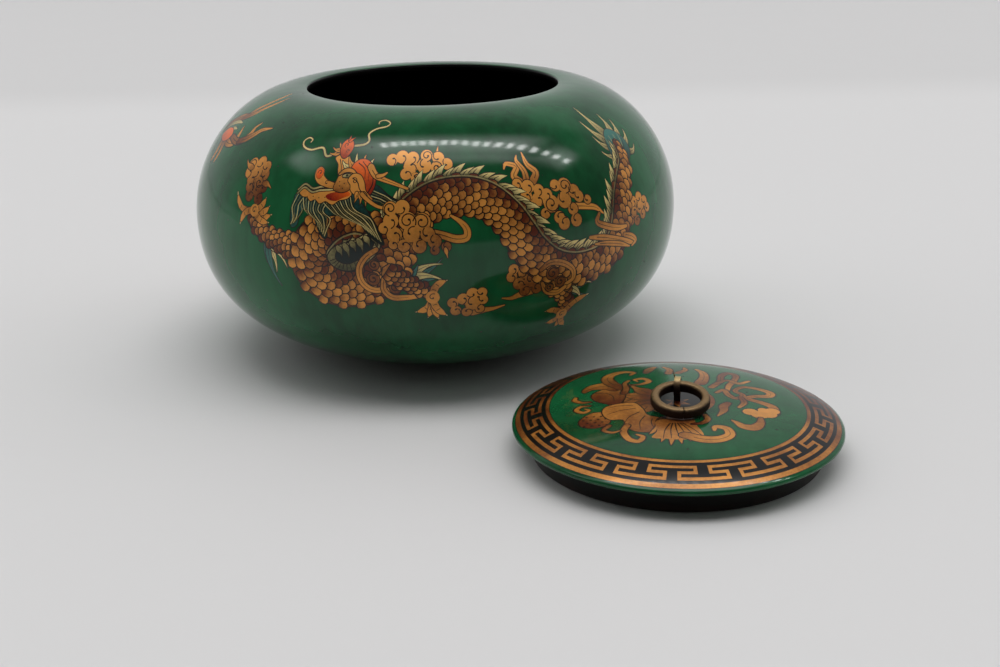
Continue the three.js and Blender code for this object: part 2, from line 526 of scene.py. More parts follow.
@dataclass
class PaintSheet:
    """A flat drawing that becomes part of a surface.

    Its patches cut it into faces, and the last one on top counts.
    """

    ground: Paint
    patches: list[Patch] = field(default_factory=list)
    cell: float = 3.0
    merge: float = 0.05

    def add(self, outline: np.ndarray, paint: Paint, wash: Wash) -> None:
        """Lays one more patch on top."""
        self.patches.append(Patch(np.asarray(outline, float)[:, :2], paint, wash))

    def cut(self, base: np.ndarray, rim: list[tuple[int, int]]) -> CutSheet:
        """Cuts the sheet along every outline.

        Args:
            base: The sheet's own points, which keep its faces small.
            rim: The edges of its border, as pairs of those points.

        Returns:
            The points, the triangles, each triangle's paint as a number, and the tone of each of its corners.
        """
        points, edges, count = [base], list(rim), len(base)
        for patch in self.patches:
            size = len(patch.outline)
            points.append(patch.outline)
            edges += [(count + i, count + (i + 1) % size) for i in range(size)]
            count += size
        where, faces = self._triangles(np.vstack(points), edges, 1e-4)
        where, faces = self._triangles(*self._shown_edges(base, where, faces), self.merge)
        corners = where[faces]
        top = self._topmost(corners.mean(1))
        paints = np.full(len(faces), PAINTS.index(self.ground))
        tones = np.full((len(faces), 3), 0.5)
        for number in np.unique(top[top >= 0]):
            mine = top == number
            patch = self.patches[number]
            paints[mine] = PAINTS.index(patch.paint)
            tones[mine] = patch.wash.at(corners[mine])
        return where, faces, paints, tones

    def _triangles(self, points: np.ndarray, edges: Sequence[tuple[int, int]],
                   merge: float) -> tuple[np.ndarray, np.ndarray]:
        """Fills the plane between edges with triangles that face up.

        Args:
            points: The points.
            edges: The edges to keep, as pairs of points, which may cross.
            merge: How near points are joined.

        Returns:
            The points and the triangles.
        """
        flat = [Vector(p) for p in points.tolist()]
        cut_points, _, cut_faces, *_ = delaunay_2d_cdt(flat, edges, [], 0, merge, False)
        where = np.array([tuple(p) for p in cut_points], float)
        faces = np.array([f for f in cut_faces if len(f) == 3], int)
        corners = where[faces]
        turn = np.cross(corners[:, 1] - corners[:, 0], corners[:, 2] - corners[:, 0])
        faces[turn < 0] = faces[turn < 0][:, ::-1]
        return where, faces[np.abs(turn) > 1e-9]

    def _shown_edges(self, base: np.ndarray, where: np.ndarray,
                     faces: np.ndarray) -> tuple[np.ndarray, list[tuple[int, int]]]:
        """The edges that part two patches, or the sheet from what is outside it.

        Args:
            base: The sheet's own points, which are kept too.
            where: The points of the first cut.
            faces: Its triangles.

        Returns:
            The points that are still needed, and the edges between them.
        """
        top = self._topmost(where[faces].mean(1))
        pairs = np.sort(np.vstack([faces[:, [0, 1]], faces[:, [1, 2]], faces[:, [2, 0]]]), axis=1)
        tops = np.tile(top, 3)
        order = np.lexsort((pairs[:, 1], pairs[:, 0]))
        pairs, tops = pairs[order], tops[order]
        twin = np.zeros(len(pairs), bool)
        twin[:-1] = (pairs[:-1] == pairs[1:]).all(1)
        second = np.roll(twin, 1)
        same = twin & (tops == np.roll(tops, -1))
        shown = pairs[~second & ~same]
        used, index = np.unique(shown, return_inverse=True)
        return np.vstack([where[used], base]), [tuple(e) for e in index.reshape(-1, 2).tolist()]

    def _topmost(self, centres: np.ndarray) -> np.ndarray:
        """The number of the topmost patch over each centre, or -1."""
        low = centres.min(0)
        column, row = ((centres - low) // self.cell).astype(int).T
        rows = int(row.max()) + 1
        key = column * rows + row
        order = np.argsort(key, kind="stable")
        starts = np.searchsorted(key[order], np.arange((int(column.max()) + 1) * rows + 1))
        top = np.full(len(centres), -1)
        for number, patch in enumerate(self.patches):
            first = np.maximum((patch.outline.min(0) - low) // self.cell, 0).astype(int)
            last = np.minimum((patch.outline.max(0) - low) // self.cell, (column.max(),
                row.max())).astype(int)
            near = [order[starts[c * rows + first[1]]:starts[c * rows + last[1] + 1]]
                    for c in range(first[0], last[0] + 1)]
            if near:
                found = np.concatenate(near)
                top[found[wound(centres[found], patch.outline)]] = number
        return top


@dataclass
class Brush:
    """Draws strokes and shapes on a sheet.

    Places go through a map, so one motif can be drawn again elsewhere.
    """

    sheet: PaintSheet
    place: Callable[[np.ndarray], np.ndarray]
    edge: float = 0.34
    step: float = 0.9
    dim: float = 0.0

    def spot(self, points: Points) -> np.ndarray:
        """The points on the sheet, with any further columns as they are."""
        p = np.atleast_2d(np.asarray(points, float)).copy()
        p[:, :2] = self.place(p[:, :2])
        return p

    def shape(self, outline: np.ndarray, paint: Paint, wash: Wash, edge: float | None = None) -> None:
        """Fills an outline that is already on the sheet, over an ink edge.

        Args:
            outline: The closed outline, in sheet millimetres.
            paint: Its paint.
            wash: Its wash.
            edge: How wide the ink shows round it, or None for the brush's own edge.
        """
        wide = self.edge if edge is None else edge
        if wide > 0:
            self.sheet.add(grown(outline, wide), INK, EDGE_INK)
        self.sheet.add(outline, paint, wash)

    def fill(self, points: Points, paint: Paint, low: float = 0.45, high: float = 0.9,
             edge: float | None = None) -> None:
        """Fills the smooth closed outline through the points, darker towards its foot.

        Args:
            points: The points of the outline.
            paint: Its paint.
            low: The tone at the bottom.
            high: The tone at the top.
            edge: How wide the ink shows round it.
        """
        outline = smooth(self.spot(points), self.step, closed=True)
        bottom, top = outline[outline[:, 1].argmin()], outline[outline[:, 1].argmax()]
        self.shape(outline, paint, run_wash(bottom, top, low - self.dim, high - self.dim), edge)

    def disc(self, centre: tuple[float, float], radius: float, paint: Paint, tone: float = 0.8,
             edge: float | None = None, sides: int = 14) -> None:
        """Fills a round spot."""
        at = self.spot([centre])[0]
        turn = np.arange(sides) * FULL_TURN / sides
        self.shape(at + radius * np.stack([np.cos(turn), np.sin(turn)], 1), paint, flat_wash(tone), edge)

    def band(self, path: np.ndarray, widths: np.ndarray, grow: float = 0.0) -> np.ndarray:
        """The outline of a stroke along a path on the sheet.

        Args:
            path: The middle line, in sheet millimetres.
            widths: The stroke's whole width at each point.
            grow: How much wider it is on each side and at its ends.

        Returns:
            The closed outline.
        """
        side = sideways(path) * (widths / 2 + grow)[:, None]
        way = np.stack([side[:, 1], -side[:, 0]], axis=1)
        left, right = path[:, :2] + side, path[:, :2] - side
        half = math.sqrt(0.5)
        tip = [path[-1, :2] + half * (side[-1] + way[-1]), path[-1, :2] + way[-1],
               path[-1, :2] + half * (way[-1] - side[-1])]
        tail = [path[0, :2] - half * (side[0] + way[0]), path[0, :2] - way[0],
                path[0, :2] + half * (side[0] - way[0])]
        return np.vstack([left, tip, right[::-1], tail])

    def stroke(self, points: Points, width: float | tuple[float, float], paint: Paint = INK,
               tone: float = 0.4) -> None:
        """One stroke with no edge.

        Args:
            points: The points that it passes.
            width: Its width, or its widths at the start and at the end.
            paint: Its paint.
            tone: Its tone.
        """
        path = smooth(self.spot(points), self.step)
        first, last = width if isinstance(width, tuple) else (width, width)
        self.sheet.add(self.band(path, np.linspace(first, last, len(path))), paint, flat_wash(tone))

    def inked(self, path: np.ndarray, widths: np.ndarray, paint: Paint, wash: Wash, edge: float) -> None:
        """Lays a band over a wider band of ink.

        Args:
            path: The middle line, in sheet millimetres.
            widths: The band's whole width at each point.
            paint: Its paint.
            wash: Its wash.
            edge: How wide the ink shows round it.
        """
        self.sheet.add(self.band(path, widths, edge), INK, EDGE_INK)
        self.sheet.add(self.band(path, widths), paint, wash)

    def vein(self, path: np.ndarray, width: float) -> None:
        """A tapering ink line along a path on the sheet, unless the width is none or the path too short."""
        if width and len(path) > 2:
            widths = np.linspace(width, width * 0.4, len(path))
            self.sheet.add(self.band(path, widths), INK, VEIN_INK)

    def ribbon(self, points: Points, paint: Paint = GOLD, low: float = 0.5, high: float = 0.95,
               edge: float | None = None, vein: float = 0.0) -> None:
        """A stroke of changing width with an ink edge.

        Args:
            points: Places with the width as a third column.
            paint: Its paint.
            low: The tone at the start.
            high: The tone at the end.
            edge: How wide the ink shows round it.
            vein: The width of an ink line along its middle, or none.
        """
        path = smooth(self.spot(points), self.step)
        wide = self.edge if edge is None else edge
        wash = run_wash(path[0, :2], path[-1, :2], low - self.dim, high - self.dim)
        self.inked(path, path[:, 2], paint, wash, wide)
        self.vein(path[len(path) // 8:-max(len(path) // 5, 1)], vein)

    def flame(self, base: tuple[float, float], tip: tuple[float, float], width: float, bend: float,
              paint: Paint = CREAM, low: float = 0.25, high: float = 0.95, vein: float = 0.3) -> None:
        """A pointed tongue from a base to a tip.

        Args:
            base: Where it is widest.
            tip: Its point.
            width: Its width at the base, in millimetres.
            bend: How far its middle bows to the left, as a share of its length.
            paint: Its paint.
            low: The tone at the base.
            high: The tone at the tip.
            vein: The width of the ink line along it, or none.
        """
        start, end = self.spot([base, tip])
        way = end - start
        left = np.array([-way[1], way[0]])
        share = np.linspace(0, 1, max(6, math.ceil(float(np.hypot(*way)) / self.step)))[:, None]
        path = start + way * share + left * bend * np.sin(math.pi * share * 0.85)
        swell = 0.75 + 0.55 * np.sin(math.pi * np.minimum(share[:, 0] * 1.6, 1))
        widths = width * (1 - share[:, 0]) ** 0.8 * swell
        wash = run_wash(start, end, low - self.dim, high - self.dim)
        self.sheet.add(self.band(path, widths, self.edge), INK, EDGE_INK)
        self.sheet.add(self.band(path, np.maximum(widths, 0.05)), paint, wash)
        self.vein(path[1:-max(len(path) // 3, 1)], vein)

    def curl(self, centre: tuple[float, float], radius: float, start_deg: float, turn_deg: float,
             width: float = 0.42) -> None:
        """A thin ink spiral that winds in to its centre.

        Args:
            centre: Its centre.
            radius: Its radius at the outer end, in millimetres.
            start_deg: The bearing of its outer end.
            turn_deg: How far it winds.
            width: The line's width.
        """
        at = self.spot([centre])[0]
        flip = self.handedness()
        count = max(6, math.ceil(abs(turn_deg) / 24))
        share = np.linspace(0, 1, count)
        turn = np.radians(start_deg + turn_deg * share)
        reach = radius * (1 - 0.78 * share)
        path = at + np.stack([flip * reach * np.cos(turn), reach * np.sin(turn)], 1)
        self.sheet.add(self.band(path, np.full(count, width)), INK, flat_wash(0.45))
        self.sheet.add(self.band(path[-2:], np.full(2, width * 1.8)), INK, flat_wash(0.45))

    def handedness(self) -> float:
        """1 where the map keeps left and right, and -1 where it mirrors them."""
        a, b = self.place(np.array([[0.0, 0.0], [1.0, 0.0]]))
        return math.copysign(1.0, b[0] - a[0])

    def cloud(self, puffs: Points, curls: bool = True, low: float = 0.55, high: float = 1.0) -> None:
        """A bank of round puffs with one scalloped edge and spirals inside.

        Args:
            puffs: The centre and the radius of each puff.
            curls: Whether the puffs hold spirals.
            low: The tone at the foot of each puff.
            high: The tone at its top.
        """
        spots = self.spot(puffs)
        turn = np.arange(14) * FULL_TURN / 14
        ring = np.stack([np.cos(turn), np.sin(turn)], 1)
        foot, head = spots[spots[:, 1].argmin(), :2], spots[spots[:, 1].argmax(), :2]
        for x, y, radius in spots:
            self.sheet.add((x, y) + ring * (radius * 1.03 + self.edge), INK, flat_wash(0.3))
        for x, y, radius in spots:
            self.sheet.add((x, y) + ring * radius * 1.03, GOLD, run_wash(foot, head, low, high))
        middle = spots[:, :2].mean(0)
        for number, (deg, arc, radius) in enumerate(np.atleast_2d(np.asarray(puffs, float))):
            if not curls:
                continue
            away = spots[number, :2] - middle
            start = math.degrees(math.atan2(away[1], self.handedness() * away[0]))
            way = 1 if number % 2 else -1
            if radius > 3.1 or radius > 2.4 and number % 3 == 0:
                self.curl((deg, arc), radius * 1.02, start - way * 130, way * 440, 0.44)
            else:
                self.curl((deg, arc), radius * 0.98, start + 125, 120, 0.4)


class Spine:
    """Reads a path with widths by the length along it."""

    def __init__(self, path: np.ndarray, hand: float = 1.0) -> None:
        """Works out the length along the path and the way out of it at each point.

        Args:
            path: The middle line with the width as a third column.
            hand: 1 where out is to the path's left, and -1 where it is to its right.
        """
        self.path = path
        self.hand = hand
        self.run = np.concatenate([[0], np.cumsum(np.hypot(*np.diff(path[:, :2], axis=0).T))])
        self.length = self.run[-1]
        self.out = sideways(path) * hand

    def at(self, length: float) -> tuple[np.ndarray, float, np.ndarray, np.ndarray]:
        """The middle, the width, the unit vector out and the one along, at a length."""
        x, y, wide = (np.interp(length, self.run, self.path[:, i]) for i in range(3))
        out = np.array([np.interp(length, self.run, self.out[:, i]) for i in range(2)])
        out /= np.hypot(*out)
        return np.array([x, y]), wide, out, np.array([out[1], -out[0]]) * self.hand


# The painting

FIN_ALONG = np.array([-0.5, -0.3, 0.12, 0.62, 1.14, 0.74, 0.5, 0.5])[:, None]
FIN_OUT = np.array([0.0, 0.42, 0.78, 1.0, 1.12, 0.7, 0.34, 0.0])[:, None]
FIN_VEIN_ALONG = np.array([[-0.1], [0.2], [0.65]])
FIN_VEIN_OUT = np.array([[0.1], [0.5], [0.8]])
TOE_WIDTHS = np.array([1.3, 1.15, 1.0, 1.05, 0.92, 0.98, 0.86, 0.4])
CLAW_EDGE_WIDTHS = np.array([0.75, 0.7, 0.5, 0.1])
CLAW_WIDTHS = np.array([0.75, 0.7, 0.5, 0.08])


@dataclass
class DragonForm:
    """The dragon's build.

    Its spine runs from the neck to the tail as degrees round the pot, millimetres up from the belly line and
    the body's width. Its fins are on the spine's left all the way.
    """

    spine: Points = ((-10.5, 15.5, 8), (-15.5, 17.6, 9), (-21, 15, 12), (-25.2, 8, 15), (-25.3, -0.5, 16.5),
        (-21, -6.8, 15.5), (-14.5, -7.2, 14), (-9, -1.5, 15), (-6.4, 8.5, 15), (-3.2, 19, 13.8),
        (2.2, 25.8, 13.6), (8.7, 27, 14), (13.6, 24.6, 13.6), (17.6, 18.2, 13.4), (20, 11.6, 13.4),
        (22.4, 4.6, 13.8), (26.6, -2, 13.6), (32, -5, 12.8), (38, -4.6, 11.8), (43, -1.8, 11.6),
        (46, 4.5, 11.4), (47.6, 12, 10.6), (48.8, 18, 9.4), (51.2, 24, 8), (54.2, 29.8, 6.6), (55.3, 37, 5))
    scale_length: float = 3.5
    scale_width: float = 3.7
    fin_pitch: float = 2.9
    fin_length: float = 4.2
    neck_share: float = 0.035


@dataclass
class Dragon:
    """A long scaled dragon with fins down its back, four clawed feet, a maned head and a tufted tail."""

    brush: Brush
    form: DragonForm = field(default_factory=DragonForm)
    seed: int = 7

    def paint(self) -> None:
        """Paints the whole dragon, from what lies behind to what lies in front."""
        chance = np.random.default_rng(self.seed)
        path = smooth(self.brush.spot(self.form.spine), 1.2)
        self._tail_tuft()
        self._tufts()
        self._fins(path)
        self._left_foreleg(chance)
        self._hind_leg(chance)
        self._body(path, chance)
        self._neck_loop()
        self._haunches(chance)
        self._mane()
        self._head()

    def _body(self, path: np.ndarray, chance: np.random.Generator) -> None:
        """The body: an inked band covered by rows of scales that lap towards the tail.

        Args:
            path: The spine on the sheet, with its widths.
            chance: The source of small differences.
        """
        sheet, brush, form = self.brush.sheet, self.brush, self.form
        sheet.add(brush.band(path, path[:, 2], 0.55), INK, EDGE_INK)
        sheet.add(brush.band(path, path[:, 2], 0.1), GOLD, flat_wash(0.15))
        self._scales(path, chance, form.scale_length, form.scale_width)
        for beyond, paint, tone in ((-0.5, INK, 0.4), (0.15, CREAM, 0.35)):
            rim = path[:, :2] + sideways(path) * (path[:, 2:3] / 2 + beyond) * brush.handedness()
            sheet.add(brush.band(rim, np.full(len(rim), 0.55)), paint, flat_wash(tone))

    def _scales(self, path: np.ndarray, chance: np.random.Generator, length: float, width: float) -> None:
        """Rows of scales over a tapering path, laid from its end to its start.

        Args:
            path: The middle line with the width as a third column.
            chance: The source of small differences.
            length: How far one row is from the next.
            width: About how wide a scale is.
        """
        spine = Spine(path)
        rows = int(spine.length / (length * 0.8))
        for row in range(rows, -1, -1):
            middle, wide, across, along = spine.at(spine.length * row / max(rows, 1))
            count = max(2, round(wide / width))
            for place in range(count + row % 2):
                share = (place + (0 if row % 2 else 0.5)) / count - 0.5
                lean = 1 - 1.1 * abs(share) ** 2
                centre = middle + across * share * (wide - width * 0.25)
                self._scale(centre + along * (lean - 1) * length * 0.9, along, across, length * lean * 1.25,
                    wide / count * (1.12 - 0.25 * abs(share)), share * self.brush.handedness(), chance)

    def _scale(self, centre: np.ndarray, along: np.ndarray, across: np.ndarray, length: float, width: float,
            backward: float, chance: np.random.Generator) -> None:
        """One scale with its round end pointing along the body.

        Args:
            centre: Its middle.
            along: The body's way.
            across: The way to the body's left.
            length: Its length.
            width: Its width.
            backward: How near it is to the fins, from -0.5 to 0.5.
            chance: The source of small differences.
        """
        turn = np.radians(np.linspace(-102, 102, 6))
        front = np.cos(turn)[:, None] * along * length * 0.52 + np.sin(turn)[:, None] * across * width * 0.5
        root = np.array([across * width * 0.36 - along * length * 0.6,
            -across * width * 0.36 - along * length * 0.6])
        outline = centre + np.vstack([front, root])
        tone = 0.5 + 0.5 * chance.random() - 1.1 * max(0.0, backward + 0.1) ** 1.2
        slant = along * length * 0.5 + across * width * 0.3 * (chance.random() - 0.5)
        self.brush.sheet.add(grown(outline, 0.46), INK, flat_wash(0.2))
        self.brush.sheet.add(outline, GOLD, run_wash(centre - slant, centre + slant * 0.4, tone - 0.6, tone))

    def _fins(self, path: np.ndarray) -> None:
        """A row of swept fins along the back, each with a vein.

        Args:
            path: The spine on the sheet, with its widths.
        """
        brush, form = self.brush, self.form
        spine = Spine(path, brush.handedness())
        count = int(spine.length / form.fin_pitch)
        for number in range(int(count * form.neck_share), count):
            middle, wide, out, way = spine.at(spine.length * number / count)
            root = middle + out * (wide / 2 - 0.4)
            reach = form.fin_length * (1.15 if number % 2 else 0.85) * min(1.0, wide / 10)
            outline = root + way * FIN_ALONG * form.fin_pitch * 1.5 + out * FIN_OUT * reach
            brush.shape(outline, CREAM, run_wash(root, root + out * reach * 1.1, -0.1, 1.1), 0.34)
            vein = root + way * FIN_VEIN_ALONG * form.fin_pitch + out * FIN_VEIN_OUT * reach
            brush.sheet.add(brush.band(vein, np.array([0.4, 0.34, 0.15])), INK, VEIN_INK)

    def _limb(self, points: Points, chance: np.random.Generator, size: float = 2.6) -> None:
        """A scaled limb with an inked outline.

        Args:
            points: Places with the width as a third column.
            chance: The source of small differences.
            size: How wide its scales are.
        """
        path = smooth(self.brush.spot(points), 0.9)
        self.brush.inked(path, path[:, 2], GOLD, flat_wash(0.45), 0.45)
        self._scales(path, chance, size * 0.95, size)

    def _paw(self, palm: tuple[float, float], radius: float, toes: Points) -> None:
        """A foot with long knuckled toes and pale claws.

        Args:
            palm: The middle of the foot.
            radius: The foot's radius, in millimetres.
            toes: The tip of each toe, with how far it bows as a third column.
        """
        brush, sheet = self.brush, self.brush.sheet
        centre = brush.spot([palm])[0]
        for deg, arc, bow in np.asarray(toes, float):
            tip = brush.spot([(deg, arc)])[0]
            way = tip - centre
            left = np.array([-way[1], way[0]]) * bow * brush.handedness()
            share = np.linspace(0, 1, 9)[:, None]
            path = centre + way * share + left * np.sin(math.pi * share)
            toe, claw = path[:8], path[5:]
            sheet.add(brush.band(claw, CLAW_EDGE_WIDTHS * radius * 0.75, 0.24), INK, EDGE_INK)
            sheet.add(brush.band(claw, CLAW_WIDTHS * radius * 0.75), CREAM, flat_wash(0.9))
            brush.inked(toe, TOE_WIDTHS * radius, GOLD, run_wash(centre, tip, 0.35, 1.0), 0.3)
            for knuckle in (2, 4):
                at = path[knuckle] * 0.5 + path[knuckle + 1] * 0.5
                cross = sideways(path)[knuckle] * radius * 0.26
                crease = np.array([at - cross, at + cross])
                sheet.add(brush.band(crease, np.full(2, 0.26)), INK, VEIN_INK)
        brush.disc(palm, radius, GOLD, 0.75, edge=0.0)
        brush.curl(palm, radius * 0.6, 60, 250, 0.34)

    def _left_foreleg(self, chance: np.random.Generator) -> None:
        """The raised foreleg at the left, whose foot holds a puff of flame."""
        self._limb([(-26, 5, 10.5), (-30.5, 6.2, 9.4), (-34.5, 7.6, 7.4), (-38, 9.2, 5.8), (-41, 11.6, 5),
            (-42, 15, 5)], chance)
        self.brush.cloud([(-47.2, 33.6, 2.7), (-44.4, 35, 2.6), (-42, 33.8, 2.3), (-47.4, 30.4, 2.4),
            (-41.6, 30.6, 2.4), (-45.6, 28, 2.6), (-42.6, 27.2, 2.6), (-44.6, 31.2, 2.8), (-45.4, 25.2, 2.2),
            (-42.4, 24.2, 2.4), (-40.6, 25.8, 1.9), (-44.6, 21.8, 2.2), (-41.4, 21.4, 2.2)], low=0.2,
            high=0.85)
        for tip in ((-38.2, 25.6), (-50.2, 35.2)):
            self.brush.flame((tip[0] * 0.5 - 21.8, tip[1] * 0.5 + 14.6), tip, 2.4, 0.15, GOLD, 0.4, 0.9, 0.0)
        self._paw((-41.8, 16.8), 2.4, [(-36.2, 16.6, -0.18), (-37.2, 19.6, -0.2), (-38.8, 22.4, -0.15),
            (-49.2, 22, 0.22), (-46.2, 10.4, -0.2), (-36.8, 13.4, -0.15)])

    def _hind_leg(self, chance: np.random.Generator) -> None:
        """The hind leg under the body at the right."""
        self._limb([(26.5, -3.5, 11.5), (28.2, -9, 10.5), (30.2, -14, 7.2), (31.6, -19, 5.2),
            (31.4, -23, 5)], chance)
        self._paw((31.2, -24.4), 2.5, [(37.6, -17.2, 0.12), (26.4, -21.4, -0.15), (27.6, -27.8, 0.15),
            (30.6, -31.2, 0.1), (33.4, -31.6, -0.12)])

    def _neck_loop(self) -> None:
        """The gap in the neck's loop: dark inside, a hatched band below it and fins above it."""
        brush = self.brush
        brush.fill([(-21.2, 3.4), (-20.2, 6.8), (-18.4, 8.6), (-15.6, 10), (-13, 12.8), (-10.2, 14.4),
            (-9.6, 11.2), (-10, 7.4), (-12.6, 2.6), (-16.2, -0.6), (-19.4, 0.2)], CREAM, 0.2, 0.6, edge=0.5)
        brush.fill([(-19.4, 4.2), (-18.4, 7.4), (-15.6, 9), (-13, 11.8), (-11, 13.2), (-11, 9.6), (-12.4, 6),
            (-14.4, 3.7), (-16.6, 2), (-18.4, 2.4)], TEAL, -0.3, 0.1, edge=0.34)
        outer = np.array([(-21.2, 3.4), (-19.4, 0.2), (-16.2, -0.6), (-12.6, 2.6), (-10, 7.4), (-9.6, 11.2)])
        inner = np.array([(-19.4, 4.2), (-18.4, 2.4), (-16.6, 2), (-13.6, 4.6), (-11.6, 7.8), (-11, 10.4)])
        for at in np.linspace(0.3, 4.8, 16):
            ends = [[np.interp(at, range(6), side[:, axis]) for axis in (0, 1)] for side in (outer, inner)]
            brush.stroke(ends, (0.32, 0.2), tone=0.3)
        for number in range(6):
            share = number / 5
            root = (-18.9 + 7.6 * share, 7.6 + 5.2 * share)
            brush.flame(root, (root[0] + 0.9, root[1] - 3.2 - 1.2 * (number % 2)), 2.1, 0.12, CREAM, 0.4,
                0.1, 0.0)

    def _haunches(self, chance: np.random.Generator) -> None:
        """The right foreleg, and the rolled bands round the two haunches."""
        brush = self.brush
        for points in ([(-10.4, 7.6, 1.6), (-12.8, 4.6, 2), (-14.2, 0.4, 2.2), (-13.9, -4.2, 2.2),
                (-12.2, -7.2, 2.2), (-10, -7.6, 2), (-8.8, -5.2, 1.6), (-9.6, -2.4, 1)],
                [(-8.2, 1, 1.2), (-9, -3.4, 1.7), (-9.1, -7.6, 2.1), (-7.4, -10.4, 2.2), (-4.6, -10.4, 2),
                (-1.8, -9.8, 1.6)]):
            brush.ribbon(points, low=0.55, high=0.9, vein=0.26)
        for centre, radius in (((-11.3, -3.4), 2.4), ((-6.7, -6.6), 2.2), ((-11, 2), 1.9)):
            brush.disc(centre, radius, GOLD, 0.3)
            brush.curl(centre, radius * 0.9, 40, 400, 0.44)
        self._limb([(-7.4, -1, 7), (-4.4, -4.4, 6.4), (-1.8, -6.6, 5.4), (0.2, -8.6, 4.8)], chance, 2.3)
        self._paw((1, -10.4), 2.6, [(4.2, -3.8, 0.2), (-2.8, -16.6, 0.2), (-0.2, -19.2, 0.06),
            (2.1, -19.8, -0.04), (4, -18.4, -0.14)])
        for points in ([(24.4, -3.2, 1.4), (26.6, -1, 2), (29.6, -1.8, 2.2), (32.2, -5, 2),
                (32.4, -8.8, 1.6), (30.2, -10.8, 1.2)],
                [(24.8, -8.6, 1.2), (26, -12.2, 2), (28.6, -13.4, 2), (30.6, -11.6, 1.4)]):
            brush.ribbon(points, low=0.35, high=0.7, vein=0.26)
        for centre, radius in (((27.2, -5.2), 2.6), ((29.2, -9), 2.2), ((26.6, -10.6), 1.6)):
            brush.disc(centre, radius, GOLD, 0.2)
            brush.curl(centre, radius * 0.9, 40, 400, 0.44)

    def _tufts(self) -> None:
        """Locks of teal and cream hair at the elbows and the heel."""
        brush = self.brush
        groups = (((-36.8, 6), ((-36.8, -1.6), (-35, -5), (-33.2, -9.6), (-31.8, -3)), 2.8),
            ((-3.8, -2.6), ((3, 5), (3.4, 1.4), (2.4, -2), (3.6, -5.2), (-2, 2.4)), 2.6),
            ((32, -12.4), ((38.2, -9.6), (38, -13.2), (36.6, -16.6), (35.2, -19.4)), 2.4))
        for base, tips, width in groups:
            for number, tip in enumerate(tips):
                paint = CREAM if number % 2 else TEAL
                brush.flame(base, tip, width, 0.16 if number % 2 else -0.12, paint, 0.5, 1.1, 0.26)

    def _tail_tuft(self) -> None:
        """The tail's end: cream tongues round a teal root."""
        brush = self.brush
        tongues = (((52.6, 33), (48, 37), 2.6, 0.2), ((52.4, 36), (48.4, 43.8), 3.0, 0.18),
            ((53, 38.5), (48.4, 51.8), 3.6, 0.14), ((54.2, 40), (52.4, 59.2), 4.4, 0.12),
            ((55.6, 40), (57.4, 52.6), 4.0, -0.12), ((57, 38.6), (60.4, 48.6), 3.4, -0.14),
            ((58, 36), (62.4, 42.6), 3.0, -0.16), ((58, 33), (62.6, 35.6), 2.4, -0.2))
        for base, tip, width, bend in tongues:
            brush.flame(base, tip, width, bend * brush.handedness(), CREAM, 0.2, 0.95, 0.34)
        brush.fill([(51.2, 31.5), (51, 36.4), (52, 40.8), (53.4, 43.4), (55.2, 44.6), (57.2, 43.4),
            (59.2, 40), (59.6, 35.6), (58.2, 31.8), (55.4, 30)], TEAL, 0.3, 0.9)
        for number in range(9):
            share = number / 8 - 0.5
            brush.stroke([(54.8 + share * 3, 33.0), (55.0 + share * 7.0, 37.8), (55.2 + share * 8.6, 41.6)],
                (0.5, 0.2), CREAM if number % 2 else INK, 0.5)

    def _lock(self, start: Pair, end: Pair, sway: float, count: int) -> None:
        """A lock of parallel hair strands.

        Args:
            start: Where its first and its last strand begin.
            end: Where they end.
            sway: How far they bow, in degrees round the pot.
            count: How many strands there are.
        """
        for number in range(count):
            share = number / max(count - 1, 1)
            a, b = (np.array(p[0]) * (1 - share) + np.array(p[1]) * share for p in (start, end))
            middle = (a + b) / 2 + (sway * math.sin(math.pi * (0.35 + share)), 0)
            quarter = a * 0.7 + b * 0.3 + (sway * 0.7, 0)
            near_tip = a * 0.2 + b * 0.8 + (-sway * 0.35, 0)
            bright = number % 2 == 0
            self.brush.stroke([a, quarter, middle, near_tip, b], (0.26, 0.4) if bright else (0.36, 0.2),
                CREAM if bright else INK, 0.25 + 0.45 * (number % 4 == 0))

    def _mane(self) -> None:
        """The mane under the jaw and behind the cheek: dark locks with pale strands."""
        brush = self.brush
        for points in ([(-29.8, 26.4), (-30.8, 22.4), (-31, 18), (-30.4, 13.4), (-29, 14.6), (-28.6, 19),
                (-27.4, 20.6), (-26.4, 19.6), (-25, 18.4), (-23.6, 13.6), (-22.2, 10.6), (-21.4, 11.6),
                (-22, 15.6), (-21.6, 18.4), (-19.6, 19.2), (-17.4, 19), (-14.6, 17.6), (-12.4, 13.4),
                (-10.2, 10.4), (-8.8, 9.4), (-9.4, 12.6), (-10.8, 17), (-13, 22), (-15.6, 26.6), (-18, 28.4),
                (-24, 27.6)],
                [(-13.8, 30.4), (-12.2, 25.6), (-8.6, 23.8), (-5.2, 22.6), (-5, 24.4), (-8, 27),
                (-11, 30.8)]):
            brush.fill(points, TEAL, -0.1, 0.4)
        self._lock(((-29.8, 25.8), (-27, 24)), ((-30.6, 14.4), (-29.4, 15.4)), -0.7, 8)
        self._lock(((-28.4, 24.8), (-21.6, 24)), ((-23.6, 14.4), (-21.9, 11.2)), -1.3, 18)
        self._lock(((-23.4, 23.8), (-16.6, 26.8)), ((-12.6, 14.6), (-9.2, 10.4)), -1.5, 22)
        self._lock(((-12.6, 29.4), (-11.8, 25.6)), ((-5.6, 24.2), (-6.2, 23)), 0.5, 7)

